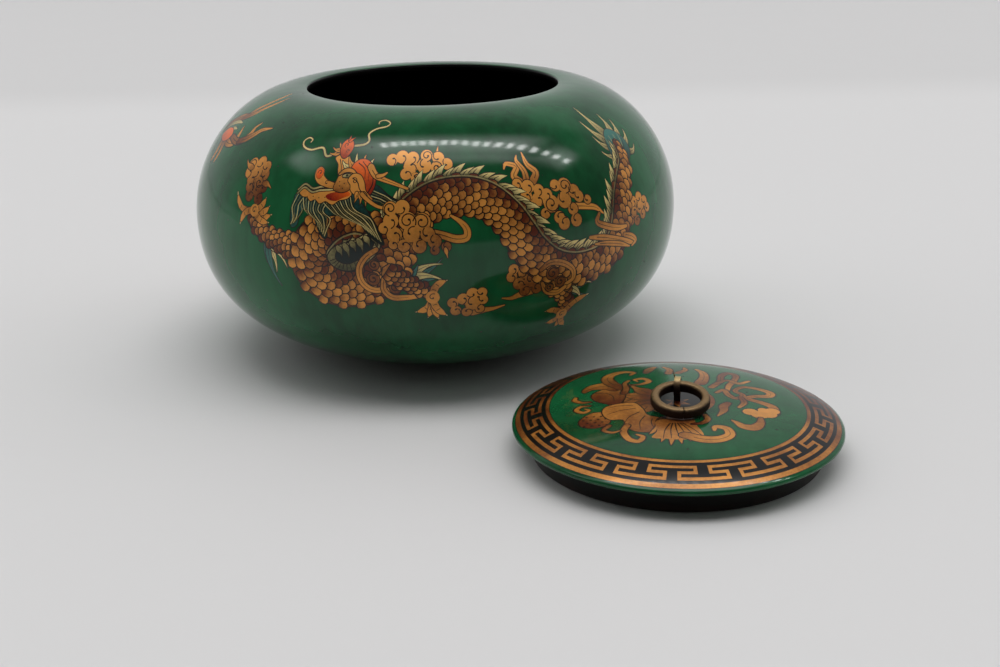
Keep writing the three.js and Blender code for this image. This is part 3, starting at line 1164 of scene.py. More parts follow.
    def _head(self) -> None:
        """The head: a jaw with a ragged edge, a snout, a cheek, an ear, horns and whiskers."""
        brush = self.brush
        whiskers = ([(-18.9, 46.6), (-16, 47.6), (-15.1, 49.6), (-15.8, 52.8), (-14.2, 55.6), (-11.4, 57.2),
            (-10.7, 59.2), (-12.4, 61), (-14.1, 60.2), (-14.1, 58.6)],
            [(-20.6, 40.4), (-23.2, 42.4), (-25.4, 41.4), (-27.4, 44.8), (-30.6, 43.4), (-33.2, 44.4),
            (-34.2, 46.8), (-33.2, 48.7), (-31.8, 48), (-31.9, 46.8)])
        for places in whiskers:
            widths = np.linspace(1.0, 0.5, len(places))
            brush.ribbon([(deg, arc, width) for (deg, arc), width in zip(places, widths)], CREAM, 0.6, 0.9,
                edge=0.4)
        self._jaw()
        self._snout()
        self._cheek()
        self._horns()

    def _jaw(self) -> None:
        """The lower jaw with its lip line, tongue and small teeth."""
        brush = self.brush
        brush.fill([(-25.6, 28.2), (-23.4, 31), (-20.2, 31.6), (-18, 29.2), (-19.4, 27.4), (-22.6, 27.4)],
            INK, 0.0, 0.3, edge=0.0)
        lip = [(-29.8, 26.6), (-28.6, 24.9), (-27.4, 24.9), (-26.4, 23.5), (-25.2, 24.3), (-24, 22.9),
            (-22.6, 24), (-20.9, 22.9), (-19.4, 24.6), (-17.6, 25.4), (-16.6, 27.2), (-17.6, 29),
            (-19.8, 28.2), (-22.2, 27.7), (-24.6, 27.2), (-26.4, 26.2), (-28, 27.8)]
        brush.fill(lip, GOLD, 0.75, 1.2)
        brush.fill([(-21.8, 27), (-19.6, 27.9), (-17.5, 28.1), (-16.9, 26.8), (-18.6, 25.5), (-20.2, 24.3),
            (-21.9, 24.6), (-22.8, 25.8)], RED, 0.1, 0.7, edge=0.0)
        for number in range(5):
            deg = -27.4 + number * 1.5
            brush.disc((deg, 25.0 + 0.3 * (number % 2)), 0.24, INK, 0.4, edge=0.0, sides=6)
        for lift in (0, 1.3):
            brush.ribbon([(-30.2, 25.8 + lift, 0.5), (-28.6, 28.3 + lift, 0.6), (-26.4, 26.9 + lift, 0.6),
                (-24.4, 27.8 + lift, 0.6), (-22.0, 28.3 + lift, 0.6), (-20.4, 28.8 + lift, 0.4)], CREAM, 0.3,
                0.7, edge=0.3)

    def _snout(self) -> None:
        """The snout's red knob and the upper lip, and the ridge up to the crest."""
        brush = self.brush
        brush.fill([(-26.5, 32.4), (-26.7, 35.2), (-25.8, 36.8), (-24.7, 35.8), (-24.4, 33.6), (-23, 31.8),
            (-21, 30.8), (-20.6, 29.4), (-21.8, 28.9), (-23.6, 29.4), (-25.4, 30.4)], GOLD, 0.6, 1.1)
        brush.fill([(-26.3, 32.8), (-26.5, 35.2), (-25.7, 36.4), (-24.8, 35.6), (-24.7, 33.6), (-25.4, 32)],
            RED, 0.5, 1.0, edge=0.1)
        brush.curl((-25.5, 34.6), 1.2, 200, -280, 0.3)
        brush.curl((-23.2, 30.8), 0.9, 60, 260, 0.28)
        brush.fill([(-22.6, 41), (-20.6, 42.8), (-19, 41), (-18.6, 37.6), (-19, 34.8), (-20.2, 33),
            (-21, 35.4), (-21.4, 38.4)], GOLD, 0.45, 1.1)
        brush.stroke([(-21.3, 40.4), (-20.5, 37.6), (-20.1, 34.6)], (0.4, 0.2))
        for deg, arc, tip_deg, tip_arc in ((-22.0, 43.6, -24.8, 43.2), (-21.8, 44.6, -24.4, 45.8),
                (-21.4, 45.6, -22.9, 48.0)):
            brush.flame((deg, arc), (tip_deg, tip_arc), 1.9, 0.2, GOLD, 0.6, 1.2, 0.24)
        brush.fill([(-21.8, 43), (-22.2, 47), (-21.1, 49.6), (-19.5, 48.8), (-18.8, 45.6), (-19.6, 42),
            (-20.6, 41)], RED, 0.35, 1.0)
        for deg, arc, radius in ((-20.8, 47, 1.3), (-19.9, 44.4, 0.9)):
            brush.curl((deg, arc), radius, 250, -270, 0.28)
        for tip in ((-20.6, 51.4), (-19.2, 50.4)):
            brush.flame((-20.4, 48.6), tip, 1.2, 0.1, RED, 0.8, 1.0, 0.0)

    def _cheek(self) -> None:
        """The brow, the eye, the round red cheek with its flames, and the curled ear."""
        brush = self.brush
        for number, (deg, arc) in enumerate(((-20.4, 40.2), (-18.9, 42.4), (-17, 43.6), (-14.6, 43),
                (-12.4, 41.2))):
            base = (-17.6 + number * 1.05, 36.6)
            brush.flame(base, (deg, arc), 3.0, 0.14, GOLD if number % 2 else CREAM, 0.4, 1.1, 0.26)
        brush.fill([(-17.7, 37.8), (-16, 40.9), (-13.6, 40.3), (-11.9, 36.4), (-11.4, 31.2), (-12.4, 27.2),
            (-13.9, 27.8), (-15, 31.6), (-16.6, 34.4)], RED, 0.1, 1.1)
        brush.stroke([(-13.6, 39.4), (-12.4, 36), (-12, 31.6), (-12.8, 28.2)], (0.3, 0.5))
        brush.stroke([(-16.2, 39.4), (-14.4, 37), (-14, 33.2)], (0.4, 0.2))
        brush.stroke([(-15.2, 40), (-13.4, 36.6), (-13.1, 32.4)], (0.3, 0.15))
        brush.fill([(-21.2, 28.8), (-20.8, 31.8), (-20.2, 34.6), (-18.6, 36), (-17, 35.2), (-16.4, 32.6),
            (-16.6, 30), (-18.2, 28), (-19.8, 27.7)], GOLD, 0.3, 1.0)
        for deg, arc in ((-19.8, 30), (-19, 29.2), (-20, 31.6), (-18.8, 31), (-19.4, 33.2)):
            brush.disc((deg, arc), 0.26, INK, 0.4, edge=0.0, sides=6)
        brush.fill([(-19.6, 33.8), (-18.6, 34.8), (-17.3, 34.4), (-18.2, 33.4)], CREAM, 0.3, 0.6, edge=0.4)
        brush.disc((-18.5, 34.2), 0.5, INK, 0.0, edge=0.0, sides=8)
        brush.ribbon([(-20.4, 34.4, 0.7), (-19.2, 36, 1.4), (-17.6, 36.2, 1.3), (-16.2, 34.8, 0.6)], GOLD,
            0.5, 1.1, edge=0.4)
        brush.fill([(-18, 32.4), (-17, 34.9), (-15.2, 34.6), (-14, 31.8), (-13.4, 28.6), (-11.6, 25.6),
            (-13.2, 26), (-15.2, 26.4), (-16.9, 28.4), (-17.2, 30.6)], GOLD, 0.6, 1.15)
        brush.stroke([(-16.9, 33.2), (-15.6, 31.8), (-14.8, 29), (-13.2, 26.9)], (0.5, 0.25))
        brush.curl((-16.4, 32.2), 1.4, 120, -300, 0.3)
        for number in range(3):
            brush.flame((-15.4 + number * 0.8, 27.6), (-15.8 + number * 1.3, 24.2 - number * 0.6), 1.8, 0.1,
                GOLD, 0.9, 0.6, 0.2)

    def _horns(self) -> None:
        """The horn swept back with its branch, and the long strand below it."""
        self.brush.ribbon([(-13, 38, 2.6), (-11.6, 34.8, 2.4), (-9.6, 33.2, 1.8), (-7.2, 31.8, 1.4),
            (-4, 29.8, 0.9)], low=0.7, high=1.1, vein=0.3)
        self.brush.ribbon([(-11, 34.4, 1.5), (-9.8, 34.8, 1.2), (-8.9, 35.8, 0.5)], low=0.8, high=1.1)
        self.brush.ribbon([(-14.2, 27.4, 1.5), (-12.8, 25.4, 1.3), (-10.6, 23.2, 1.1), (-8.4, 22.2, 1),
            (-7.4, 20.6, 0.7)], low=0.7, high=1.1)


@dataclass
class Clouds:
    """The banks of cloud round the dragon, with their trails of vapour."""

    brush: Brush

    def paint_behind(self) -> None:
        """The banks that the dragon passes in front of."""
        brush = self.brush
        brush.flame((3.2, 42), (3.4, 46.8), 1.8, 0.1, GOLD, 0.9, 1.1, 0.0)
        brush.cloud([(-8, 41.2, 2.4), (-5.6, 42.4, 2.7), (-3, 42, 2.6), (0.4, 42.8, 2.5), (3.2, 41.8, 2.5),
            (5.2, 39.2, 2.3), (2.8, 37.8, 2.5), (-0.2, 38.6, 2.9), (-3.4, 38.4, 2.9), (-4.4, 35.4, 2.3),
            (-2.2, 34, 1.9)], low=0.8, high=1.2)
        for points in ([(22.6, 29, 3), (20.6, 32.4, 2.6), (21.8, 36, 2.2), (19.4, 37.6, 1.6),
                (18.6, 35.6, 0.5)],
                [(24.8, 29.5, 3), (26.2, 33, 2.6), (24.6, 36.6, 2), (24.2, 41.6, 0.4)],
                [(23.4, 30, 2.6), (23.4, 34, 2.2), (22.2, 38.4, 1.4), (22.6, 40.6, 0.4)]):
            brush.ribbon(points, low=0.4, high=1.1, vein=0.3)
        brush.ribbon([(33.6, 18.4, 2.4), (37, 17.4, 2.3), (39.6, 16.2, 2), (41.6, 13.4, 0.5)], low=0.8,
            high=1.0, vein=0.26)
        brush.cloud([(21, 29.4, 2), (23.4, 28, 2.5), (25.8, 26.2, 2.2), (22.6, 24.6, 2.3), (25.2, 22.8, 2.5),
            (23.2, 21, 1.8), (35.6, 21.6, 2.2), (37.8, 19.8, 1.7), (30.2, 27, 2.2), (32.6, 26.4, 2.9),
            (34.6, 23.8, 2.6), (27.6, 24.2, 2.2), (28.2, 20.6, 3.2), (31.6, 21.2, 3), (26.4, 17.4, 1.9),
            (29.6, 15.2, 2.2), (33.4, 17.4, 2.2), (30.6, 12.8, 2.4), (33.8, 13.2, 2.4)], low=0.6, high=1.1)
        brush.ribbon([(9.4, -17.6, 2.8), (12, -16.9, 2.2), (14, -16.6, 1.4), (16.4, -15.6, 0.4)], low=0.6,
            high=0.95)
        brush.cloud([(5.2, -13, 2), (7.4, -11.6, 2.2), (9.4, -9.6, 2.2), (11.4, -9.4, 1.9),
            (11.6, -12.4, 1.9), (5.8, -16.4, 2), (8.2, -17.2, 1.9), (9.4, -13.6, 2.8), (11, -16.2, 1.7)],
            low=0.5, high=1.0)
        brush.ribbon([(22.4, -11, 2.8), (19.6, -12, 2.2), (17.8, -13, 1.4), (15.8, -12.6, 0.4)], low=0.4,
            high=0.8)
        brush.cloud([(18.2, -1.6, 1.9), (17.8, -4.4, 2), (20.6, -3.2, 2.4), (19.4, -7.4, 2.2),
            (22.2, -6.6, 2.7), (20.8, -10.4, 2), (23.2, -2, 2.2), (23.6, -10.2, 2)], low=0.2, high=0.75)
        brush.cloud([(52.4, 14.2, 2.1), (54.8, 15, 2.2), (56.8, 13, 2), (54.6, 11.2, 2.4), (57.6, 10.2, 1.8),
            (52, 10.6, 2), (55.4, 8.4, 1.9), (52.8, 6.8, 1.9), (50.4, 12.6, 1.8), (50.6, 7.6, 1.8)], low=0.4,
            high=0.9)

    def paint_flames(self) -> None:
        """Forked flames that stream from a red ball, at the pot's left."""
        brush = self.brush
        for points in ([(-77.8, 43, 2.6), (-73, 48.6, 2.6), (-69.4, 51, 2.2), (-68.6, 56, 1.8),
                (-67.2, 61, 1.6), (-67.6, 66.6, 1.2), (-70, 71, 0.3)],
                [(-70.4, 49.4, 2.4), (-66.4, 53.6, 2), (-64.6, 58, 1.8), (-63.2, 62.6, 1.4),
                (-63.4, 68.2, 0.3)],
                [(-70, 38.4, 1.6), (-65.6, 37.6, 2), (-62.2, 38.8, 1.8), (-62.6, 42.4, 1.5),
                (-64, 46.6, 0.3)],
                [(-66, 40.8, 1.6), (-61.6, 39.8, 1.8), (-58.6, 41, 2), (-56.9, 44.8, 1.7), (-57.2, 48, 1.2),
                (-56.2, 51, 0.3)],
                [(-60.2, 40.2, 1.6), (-57, 42.4, 2), (-54.8, 45.2, 1.8), (-53, 48, 1.4), (-49.4, 50, 0.3)],
                [(-72.6, 39.6, 2), (-71, 35.4, 1.8), (-70.6, 31.4, 1.5), (-71.4, 27.6, 0.4)],
                [(-70.2, 38.4, 1.8), (-68.2, 34.8, 1.6), (-67.6, 31.4, 1.3), (-68.2, 28.2, 0.4)]):
            wide = [(deg, arc, width * 1.5) for deg, arc, width in points]
            brush.ribbon(wide, low=0.2, high=1.0, edge=0.5, vein=0.4)
        for points in ([(-78, 40, 2), (-74.6, 44.4, 2.2), (-70.8, 46.8, 1.8), (-67.6, 47.4, 0.5)],
                [(-75, 38, 1.8), (-70.6, 43.2, 2), (-67.4, 44.2, 0.5)]):
            brush.ribbon(points, CREAM, 0.2, 0.8, vein=0.26)
        brush.fill([(-75.4, 38.6), (-74, 42.2), (-70.4, 43.4), (-67.4, 41.4), (-68, 38.6), (-71.4, 36.8)],
            RED, 0.5, 1.0)

    def paint_in_front(self) -> None:
        """The banks that pass in front of the dragon."""
        brush = self.brush
        brush.ribbon([(0.6, 14, 2.4), (3.4, 12.8, 2.6), (6.2, 11.2, 2.8), (8.4, 11.6, 2.8), (8.6, 14.4, 2.4),
            (7.4, 17.2, 1.8), (5.4, 19.6, 0.8)], low=0.6, high=0.95, vein=0.3)
        brush.cloud([(-7.6, 22.4, 2.6), (-5, 22.8, 2.8), (-7.4, 18, 2.8), (-3.8, 18, 3.2), (-0.8, 17.6, 3.2),
            (-6.6, 13, 2.8), (-8.8, 15.4, 2), (-3, 13.4, 3), (0.4, 13.2, 2.6), (1.8, 10.6, 2.4),
            (-4.6, 9.2, 2.2), (-1.4, 9, 2.5), (4.2, 8.6, 1.7), (1.8, 7.4, 1.6), (-6.8, 9.6, 1.7)], low=0.45,
            high=1.0)
        brush.flame((4, 7.8), (4.4, 4.4), 1.4, 0.0, GOLD, 0.8, 0.9, 0.0)
        for points in ([(40.4, 13.8, 1), (39.4, 10.8, 2), (42, 8.4, 2.4), (45.4, 6.6, 2.2),
                (48.4, 6.2, 1.2)],
                [(37, 5.6, 1.2), (40.4, 4.6, 2.2), (44.4, 2.6, 2.3), (48.4, 0.2, 2.2), (51.8, -1.6, 0.8)],
                [(38.4, 2.6, 0.8), (42, 1.8, 1.8), (46.2, 0, 1.8), (49.4, -2, 0.6)],
                [(47.6, 3.2, 1.6), (50.2, 1.6, 2.2), (51.8, -0.6, 1.6), (50.4, -2.2, 0.6)]):
            brush.ribbon(points, low=0.5, high=0.95, vein=0.28)


@dataclass
class LidPainting:
    """Gold fruit, leaves and ribbons round the ring, inside a key-pattern border."""

    sheet: PaintSheet
    collar: tuple[float, float] = (10.9, 12.9)
    inner_band: tuple[float, float] = (44.2, 45.4)
    outer_band: tuple[float, float] = (54.3, 55.85)
    fret_radii: tuple[float, float, float] = (47.45, 49.95, 52.45)
    fret_line: float = 1.2
    fret_repeats: int = 16
    fret_start_deg: float = -17.1
    fret_run_share: float = 0.755
    fret_hook_share: float = 0.265

    def paint(self) -> None:
        """Paints the border and then the motif."""
        self._border()
        brush = Brush(self.sheet, lambda p: p, edge=0.46, step=0.8, dim=0.28)
        # Black fills the collar under the ring: painted shade, and a painted reflection of the ring's dark
        # inside.
        self._ring(*self.collar, BLACK)
        self._boss(brush)
        self._fruit(brush)
        self._leaves(brush)
        self._ribbons(brush)

    def _gold_wash(self) -> Wash:
        """The border's gold: brighter in front, darker at the left and behind."""
        return run_wash((-14, 8), (-16, -50), 0.2, 0.66)

    def _circle(self, radius: float) -> np.ndarray:
        """A fine circle round the lid's middle."""
        turn = np.arange(180) * FULL_TURN / 180
        return radius * np.stack([np.cos(turn), np.sin(turn)], 1)

    def _ring(self, inner: float, outer: float, inside: Paint) -> None:
        """A gold ring with a thin ink line on both sides.

        Args:
            inner: Its inner radius.
            outer: Its outer radius.
            inside: What lies inside it.
        """
        line = 0.22
        discs = ((outer + line, INK, EDGE_INK), (outer, GOLD, self._gold_wash()), (inner, INK, EDGE_INK),
            (inner - line, inside, flat_wash(0.5)),)
        for radius, paint, wash in discs:
            self.sheet.add(self._circle(radius), paint, wash)

    def _polar(self, deg: float, radius: float) -> tuple[float, float]:
        """A point of the border, by its bearing from the front."""
        turn = math.radians(deg)
        return radius * math.sin(turn), -radius * math.cos(turn)

    def _run(self, start: float, end: float, radius: float) -> None:
        """A stretch of the key line round the lid.

        Args:
            start: The bearing of its start, in degrees.
            end: The bearing of its end.
            radius: Its radius.
        """
        half = self.fret_line / 2
        over = math.degrees(half / radius)
        bearings = np.linspace(min(start, end) - over, max(start, end) + over,
            max(2, round(abs(end - start) / 1.6)))
        outline = [self._polar(b, radius - half) for b in bearings]
        outline += [self._polar(b, radius + half) for b in bearings[::-1]]
        self.sheet.add(np.array(outline), GOLD, self._gold_wash())

    def _rung(self, deg: float, low: float, high: float) -> None:
        """A stretch of the key line towards the rim."""
        half = math.degrees(self.fret_line / 2 / ((low + high) / 2))
        outline = [self._polar(deg - half, low), self._polar(deg + half, low), self._polar(deg + half, high),
            self._polar(deg - half, high)]
        self.sheet.add(np.array(outline), GOLD, self._gold_wash())

    def _border(self) -> None:
        """The two gold bands and the key line between them on black."""
        self._ring(*self.outer_band, BLACK)
        top, middle, bottom = self.fret_radii
        pitch = 360 / self.fret_repeats
        run, hook = pitch * self.fret_run_share, pitch * self.fret_hook_share
        for number in range(self.fret_repeats):
            start = self.fret_start_deg + number * pitch
            low_start = start + run - hook
            low_end = start + pitch + hook
            self._run(start, start + run, top)
            self._rung(start + run, top, middle)
            self._run(start + run, low_start, middle)
            self._rung(low_start, middle, bottom)
            self._run(low_start, low_end, bottom)
            self._rung(low_end, middle, bottom)
            self._run(low_end, start + pitch, middle)
            self._rung(start + pitch, top, middle)
        self._ring(*self.inner_band, GREEN)

    def _boss(self, brush: Brush) -> None:
        """The small gold flower under the ring."""
        for number in range(6):
            turn = FULL_TURN * (number + 0.5) / 6
            brush.flame((0, -2), (4.6 * math.cos(turn), 4.6 * math.sin(turn) - 2.0), 3.4, 0.0, GOLD, 0.2,
                0.8, 0.4)

    def _fruit(self, brush: Brush) -> None:
        """The peach at the left with its petals, and the dotted pod below it."""
        for tip, width in (((-24.6, 4.6), 7.5), ((-24, -1.4), 7.0), ((-22, 9.4), 7.0), ((-20.4, -6.6), 6.4),
                ((-14.6, 17), 5.6), ((-16.4, -11.8), 6.0)):
            brush.flame((-10.4 if tip[1] < 9 else -8.6, tip[1] * 0.4), tip, width, 0.08, GOLD, 0.45, 0.8,
                0.4)
        brush.fill([(-20, -1.5), (-24.5, -1), (-28.2, 2.6), (-29, 7.2), (-26.6, 11), (-22.6, 12.8),
            (-18.8, 11), (-17.4, 6)], GOLD, 0.35, 0.8)
        brush.stroke([(-27.6, 9.6), (-24, 8.8), (-21.8, 5.6), (-21.6, 1)], (0.5, 0.25))
        brush.fill([(-24.6, -9), (-29, -8.2), (-32.4, -10.6), (-34.8, -14.6), (-33.6, -18.4), (-29.6, -20),
            (-25.8, -18.6), (-24, -14.2)], GOLD, 0.4, 0.8)
        for row in range(4):
            for place in range(3 + row % 2):
                at = (-32.0 + place * 2.5 - (row % 2) * 1.2, -11.4 - row * 2.3)
                brush.disc(at, 0.5, INK, 0.3, edge=0.0, sides=7)

    def _leaves(self, brush: Brush) -> None:
        """The leaves and their curled ends."""
        brush.fill([(-20.4, 10.6), (-24, 12.6), (-28.4, 13), (-31.4, 10.6), (-31.8, 13.4), (-29.4, 17.4),
            (-25, 19.4), (-20.6, 18.6), (-17.4, 14.6)], GOLD, 0.4, 0.8)
        brush.stroke([(-30.6, 13), (-26, 16), (-20.6, 14.6)], (0.4, 0.25))
        brush.ribbon([(-18, 13, 3.6), (-21.4, 19, 4.4), (-22.2, 24.6, 4), (-19.8, 29.2, 3.2),
            (-15.6, 31.2, 2.6), (-12.2, 29.8, 1.8), (-13.6, 27, 0.8)], low=0.45, high=0.85, vein=0.3)
        brush.ribbon([(-17.6, 8, 2.4), (-16.4, 12.6, 2), (-16.6, 17.4, 1.4), (-14.8, 20.6, 1.2)], low=0.5,
            high=0.8)
        brush.ribbon([(-14.8, 15.6, 0.6), (-10.6, 16.4, 1.6), (-7.8, 19, 2), (-9.4, 22.2, 1.9),
            (-12.6, 21.4, 1.5), (-11.8, 19.4, 0.7)], low=0.5, high=0.85)
        brush.ribbon([(-29.8, 1.6, 0.8), (-32.6, 1.6, 1.6), (-35, 4.2, 1.8), (-34.6, 6.6, 1.2)], low=0.5,
            high=0.8)
        brush.ribbon([(-30, -1.8, 0.6), (-33.4, -2, 1.5), (-35, -4.8, 1.7), (-32.8, -7.2, 1.6),
            (-30.8, -5.6, 1.2), (-32, -4.2, 0.6)], low=0.5, high=0.85)
        brush.fill([(-6.8, -16), (-7.6, -22.6), (-12, -25.6), (-16.6, -24.6), (-19.4, -20.6), (-20, -15.4),
            (-24.4, -14.6), (-26.4, -9.6), (-25.2, -4.4), (-20.4, -1.8), (-15, -1.6), (-12.6, -7),
            (-11.4, -12.4)], GOLD, 0.6, 0.9)
        for start, end in (((-12.4, -13), (-15, -23.4)), ((-14, -9.6), (-19.8, -18.2)),
                ((-15, -6.4), (-25, -10.6)), ((-15.6, -3.6), (-24, -5)), ((-10.2, -15.6), (-10, -24))):
            brush.stroke([start, ((start[0] + end[0]) / 2 - 0.8, (start[1] + end[1]) / 2 + 0.6), end],
                (0.42, 0.2))
        brush.ribbon([(-19, -20, 2.2), (-20.6, -24.4, 2.2), (-19.4, -29.6, 2.2), (-16.4, -31.6, 2),
            (-14.6, -28.8, 1.6), (-16.4, -27, 0.8)], low=0.6, high=0.9)
        brush.ribbon([(-25, -19.4, 1.6), (-27, -22.2, 1.4), (-24.4, -24.4, 1.2), (-21.8, -23.6, 0.6)],
            low=0.5, high=0.8)
        lobes = 7
        for number in range(lobes):
            turn = math.radians(-142 + number * 78 / (lobes - 1))
            reach = 16.0 - 1.2 * abs(number - 3)
            tip = (-2.6 + reach * math.cos(turn), -19.5 + reach * math.sin(turn))
            brush.flame((-2.6, -16), tip, 8.5, 0.0, GOLD, 0.7, 0.95, 0.0)
        brush.fill([(-8.6, -17), (-9.6, -25), (-11.8, -29.6), (-7.4, -30.8), (-3, -31.6), (1.6, -31.4),
            (5.2, -29.2), (4, -22), (2.4, -16.4)], GOLD, 0.95, 0.7, edge=0.0)
        for number in range(6):
            across = -8.2 + number * 2.7
            brush.stroke([(-3.0 + (across + 2.6) * 0.3, -19.6), (across * 0.7 - 1.2, -24.6), (across,
                -30.6)], (0.5, 0.2))
        brush.ribbon([(-1, -28.6, 4), (4.6, -31.6, 4.4), (9.8, -31.6, 4), (13.8, -28.6, 3.4),
            (13.4, -24, 2.8), (10, -22.8, 2.2), (9.2, -25.4, 1)], low=0.75, high=0.95, vein=0.3)
        brush.ribbon([(2.6, -20.6, 0.8), (6, -19.8, 1.6), (8.2, -17, 1.9), (7.8, -13.4, 1.5)], low=0.5,
            high=0.9)

    def _ribbons(self, brush: Brush) -> None:
        """The knotted ribbons at the right and the scraps behind the ring."""
        for points in ([(-7.8, 29, 1.8), (-6.2, 33, 3), (-4, 36, 1.6)],
                [(0.2, 27.6, 2.4), (1.2, 32, 2.2), (-0.6, 36, 1)],
                [(3.6, 28, 2.2), (6.8, 31.4, 1.8), (6.8, 34.6, 0.8)],
                [(10.4, 16.6, 4.4), (12.4, 22, 3.4), (12.8, 28, 2.6), (11, 32.6, 1)],
                [(13.6, 12, 2.2), (17.4, 18, 2), (19, 24.6, 2.2), (21.8, 28.4, 2.4), (24.4, 26, 2.2),
                (23, 20, 2), (20, 13.6, 2), (18.6, 8, 1.2)],
                [(16, 16, 1.6), (20.4, 19.6, 1.4), (24, 16.4, 1.8), (28.2, 19.8, 1.2)],
                [(14.6, 6.6, 1.2), (17.6, 9.4, 1.8), (18.4, 4.6, 2), (20.6, 1.4, 2), (23.6, 4.4, 1.8),
                (21.4, 8.6, 1.6), (24.8, 12.6, 1.8), (29.6, 11.6, 2.2), (33.6, 8.2, 3), (32.4, 4.6, 2.8),
                (27.8, 3.8, 2.4), (24.4, 1.6, 2.2), (28.6, -1.8, 2.6), (32, -5.4, 3.2), (31.6, -10.6, 3.8)],
                [(22.4, 2, 1.6), (22.8, -2.6, 2), (20.4, -6.8, 1.2)]):
            brush.ribbon(points, low=0.55, high=0.9, vein=0.26)
        brush.cloud([(23.6, -10.4, 2.6), (26.4, -12.4, 3), (29.4, -11.6, 3), (31.4, -9, 2.4),
            (28.2, -8.6, 1.8)], curls=False, low=0.7, high=0.95)
        brush.ribbon([(26.2, -15.4, 1.6), (25.4, -19.4, 2.8), (22.8, -22.8, 4.2), (19.4, -22.2, 3.4),
            (17.6, -19.6, 2), (16.2, -17.6, 0.6)], low=0.65, high=0.95)
        brush.ribbon([(17, -3.4, 2.4), (15.2, -6, 3), (14.6, -9.8, 2.4), (12, -14.2, 0.5)], low=0.6,
            high=0.9)


# Turned bodies

@dataclass
class Profile:
    """A half outline in millimetres as radius and height, walked with the outside on its right."""

    points: np.ndarray

    def __post_init__(self) -> None:
        """Works out the length along it and its outward normals."""
        gaps = np.hypot(*np.diff(self.points, axis=0).T)
        self.run = np.concatenate([[0], np.cumsum(gaps)])
        way = np.gradient(self.points, self.run, axis=0)
        way /= np.linalg.norm(way, axis=1)[:, None]
        self.out = np.stack([way[:, 1], -way[:, 0]], axis=1)

    def at(self, run: np.ndarray) -> tuple[np.ndarray, np.ndarray]:
        """The radius and height, and the normal, at lengths along it."""
        place = np.stack([np.interp(run, self.run, self.points[:, i]) for i in range(2)], axis=-1)
        out = np.stack([np.interp(run, self.run, self.out[:, i]) for i in range(2)], axis=-1)
        return place, out / np.linalg.norm(out, axis=-1)[..., None]

    def offset(self, depth: float) -> np.ndarray:
        """The points moved in from the outside by a depth."""
        return self.points - self.out * depth


def bezier(points: Points, count: int) -> np.ndarray:
    """A cubic curve.

    Args:
        points: Its two ends and, between them, its two handles.
        count: How many points to return.

    Returns:
        Points along it, both ends among them.
    """
    a, b, c, d = np.asarray(points, float)
    t = np.linspace(0, 1, count)[:, None]
    return (1 - t)**3 * a + 3 * (1 - t)**2 * t * b + 3 * (1 - t) * t**2 * c + t**3 * d


def arc(centre: tuple[float, float], radii: tuple[float, float], start_deg: float, end_deg: float,
        count: int) -> np.ndarray:
    """Points on a round or oval corner.

    Args:
        centre: Its centre.
        radii: Its radius across and up.
        start_deg: Where it starts.
        end_deg: Where it ends.
        count: How many points to return.

    Returns:
        The points.
    """
    turn = np.radians(np.linspace(start_deg, end_deg, count))
    return np.asarray(centre) + np.stack([np.cos(turn) * radii[0], np.sin(turn) * radii[1]], 1)


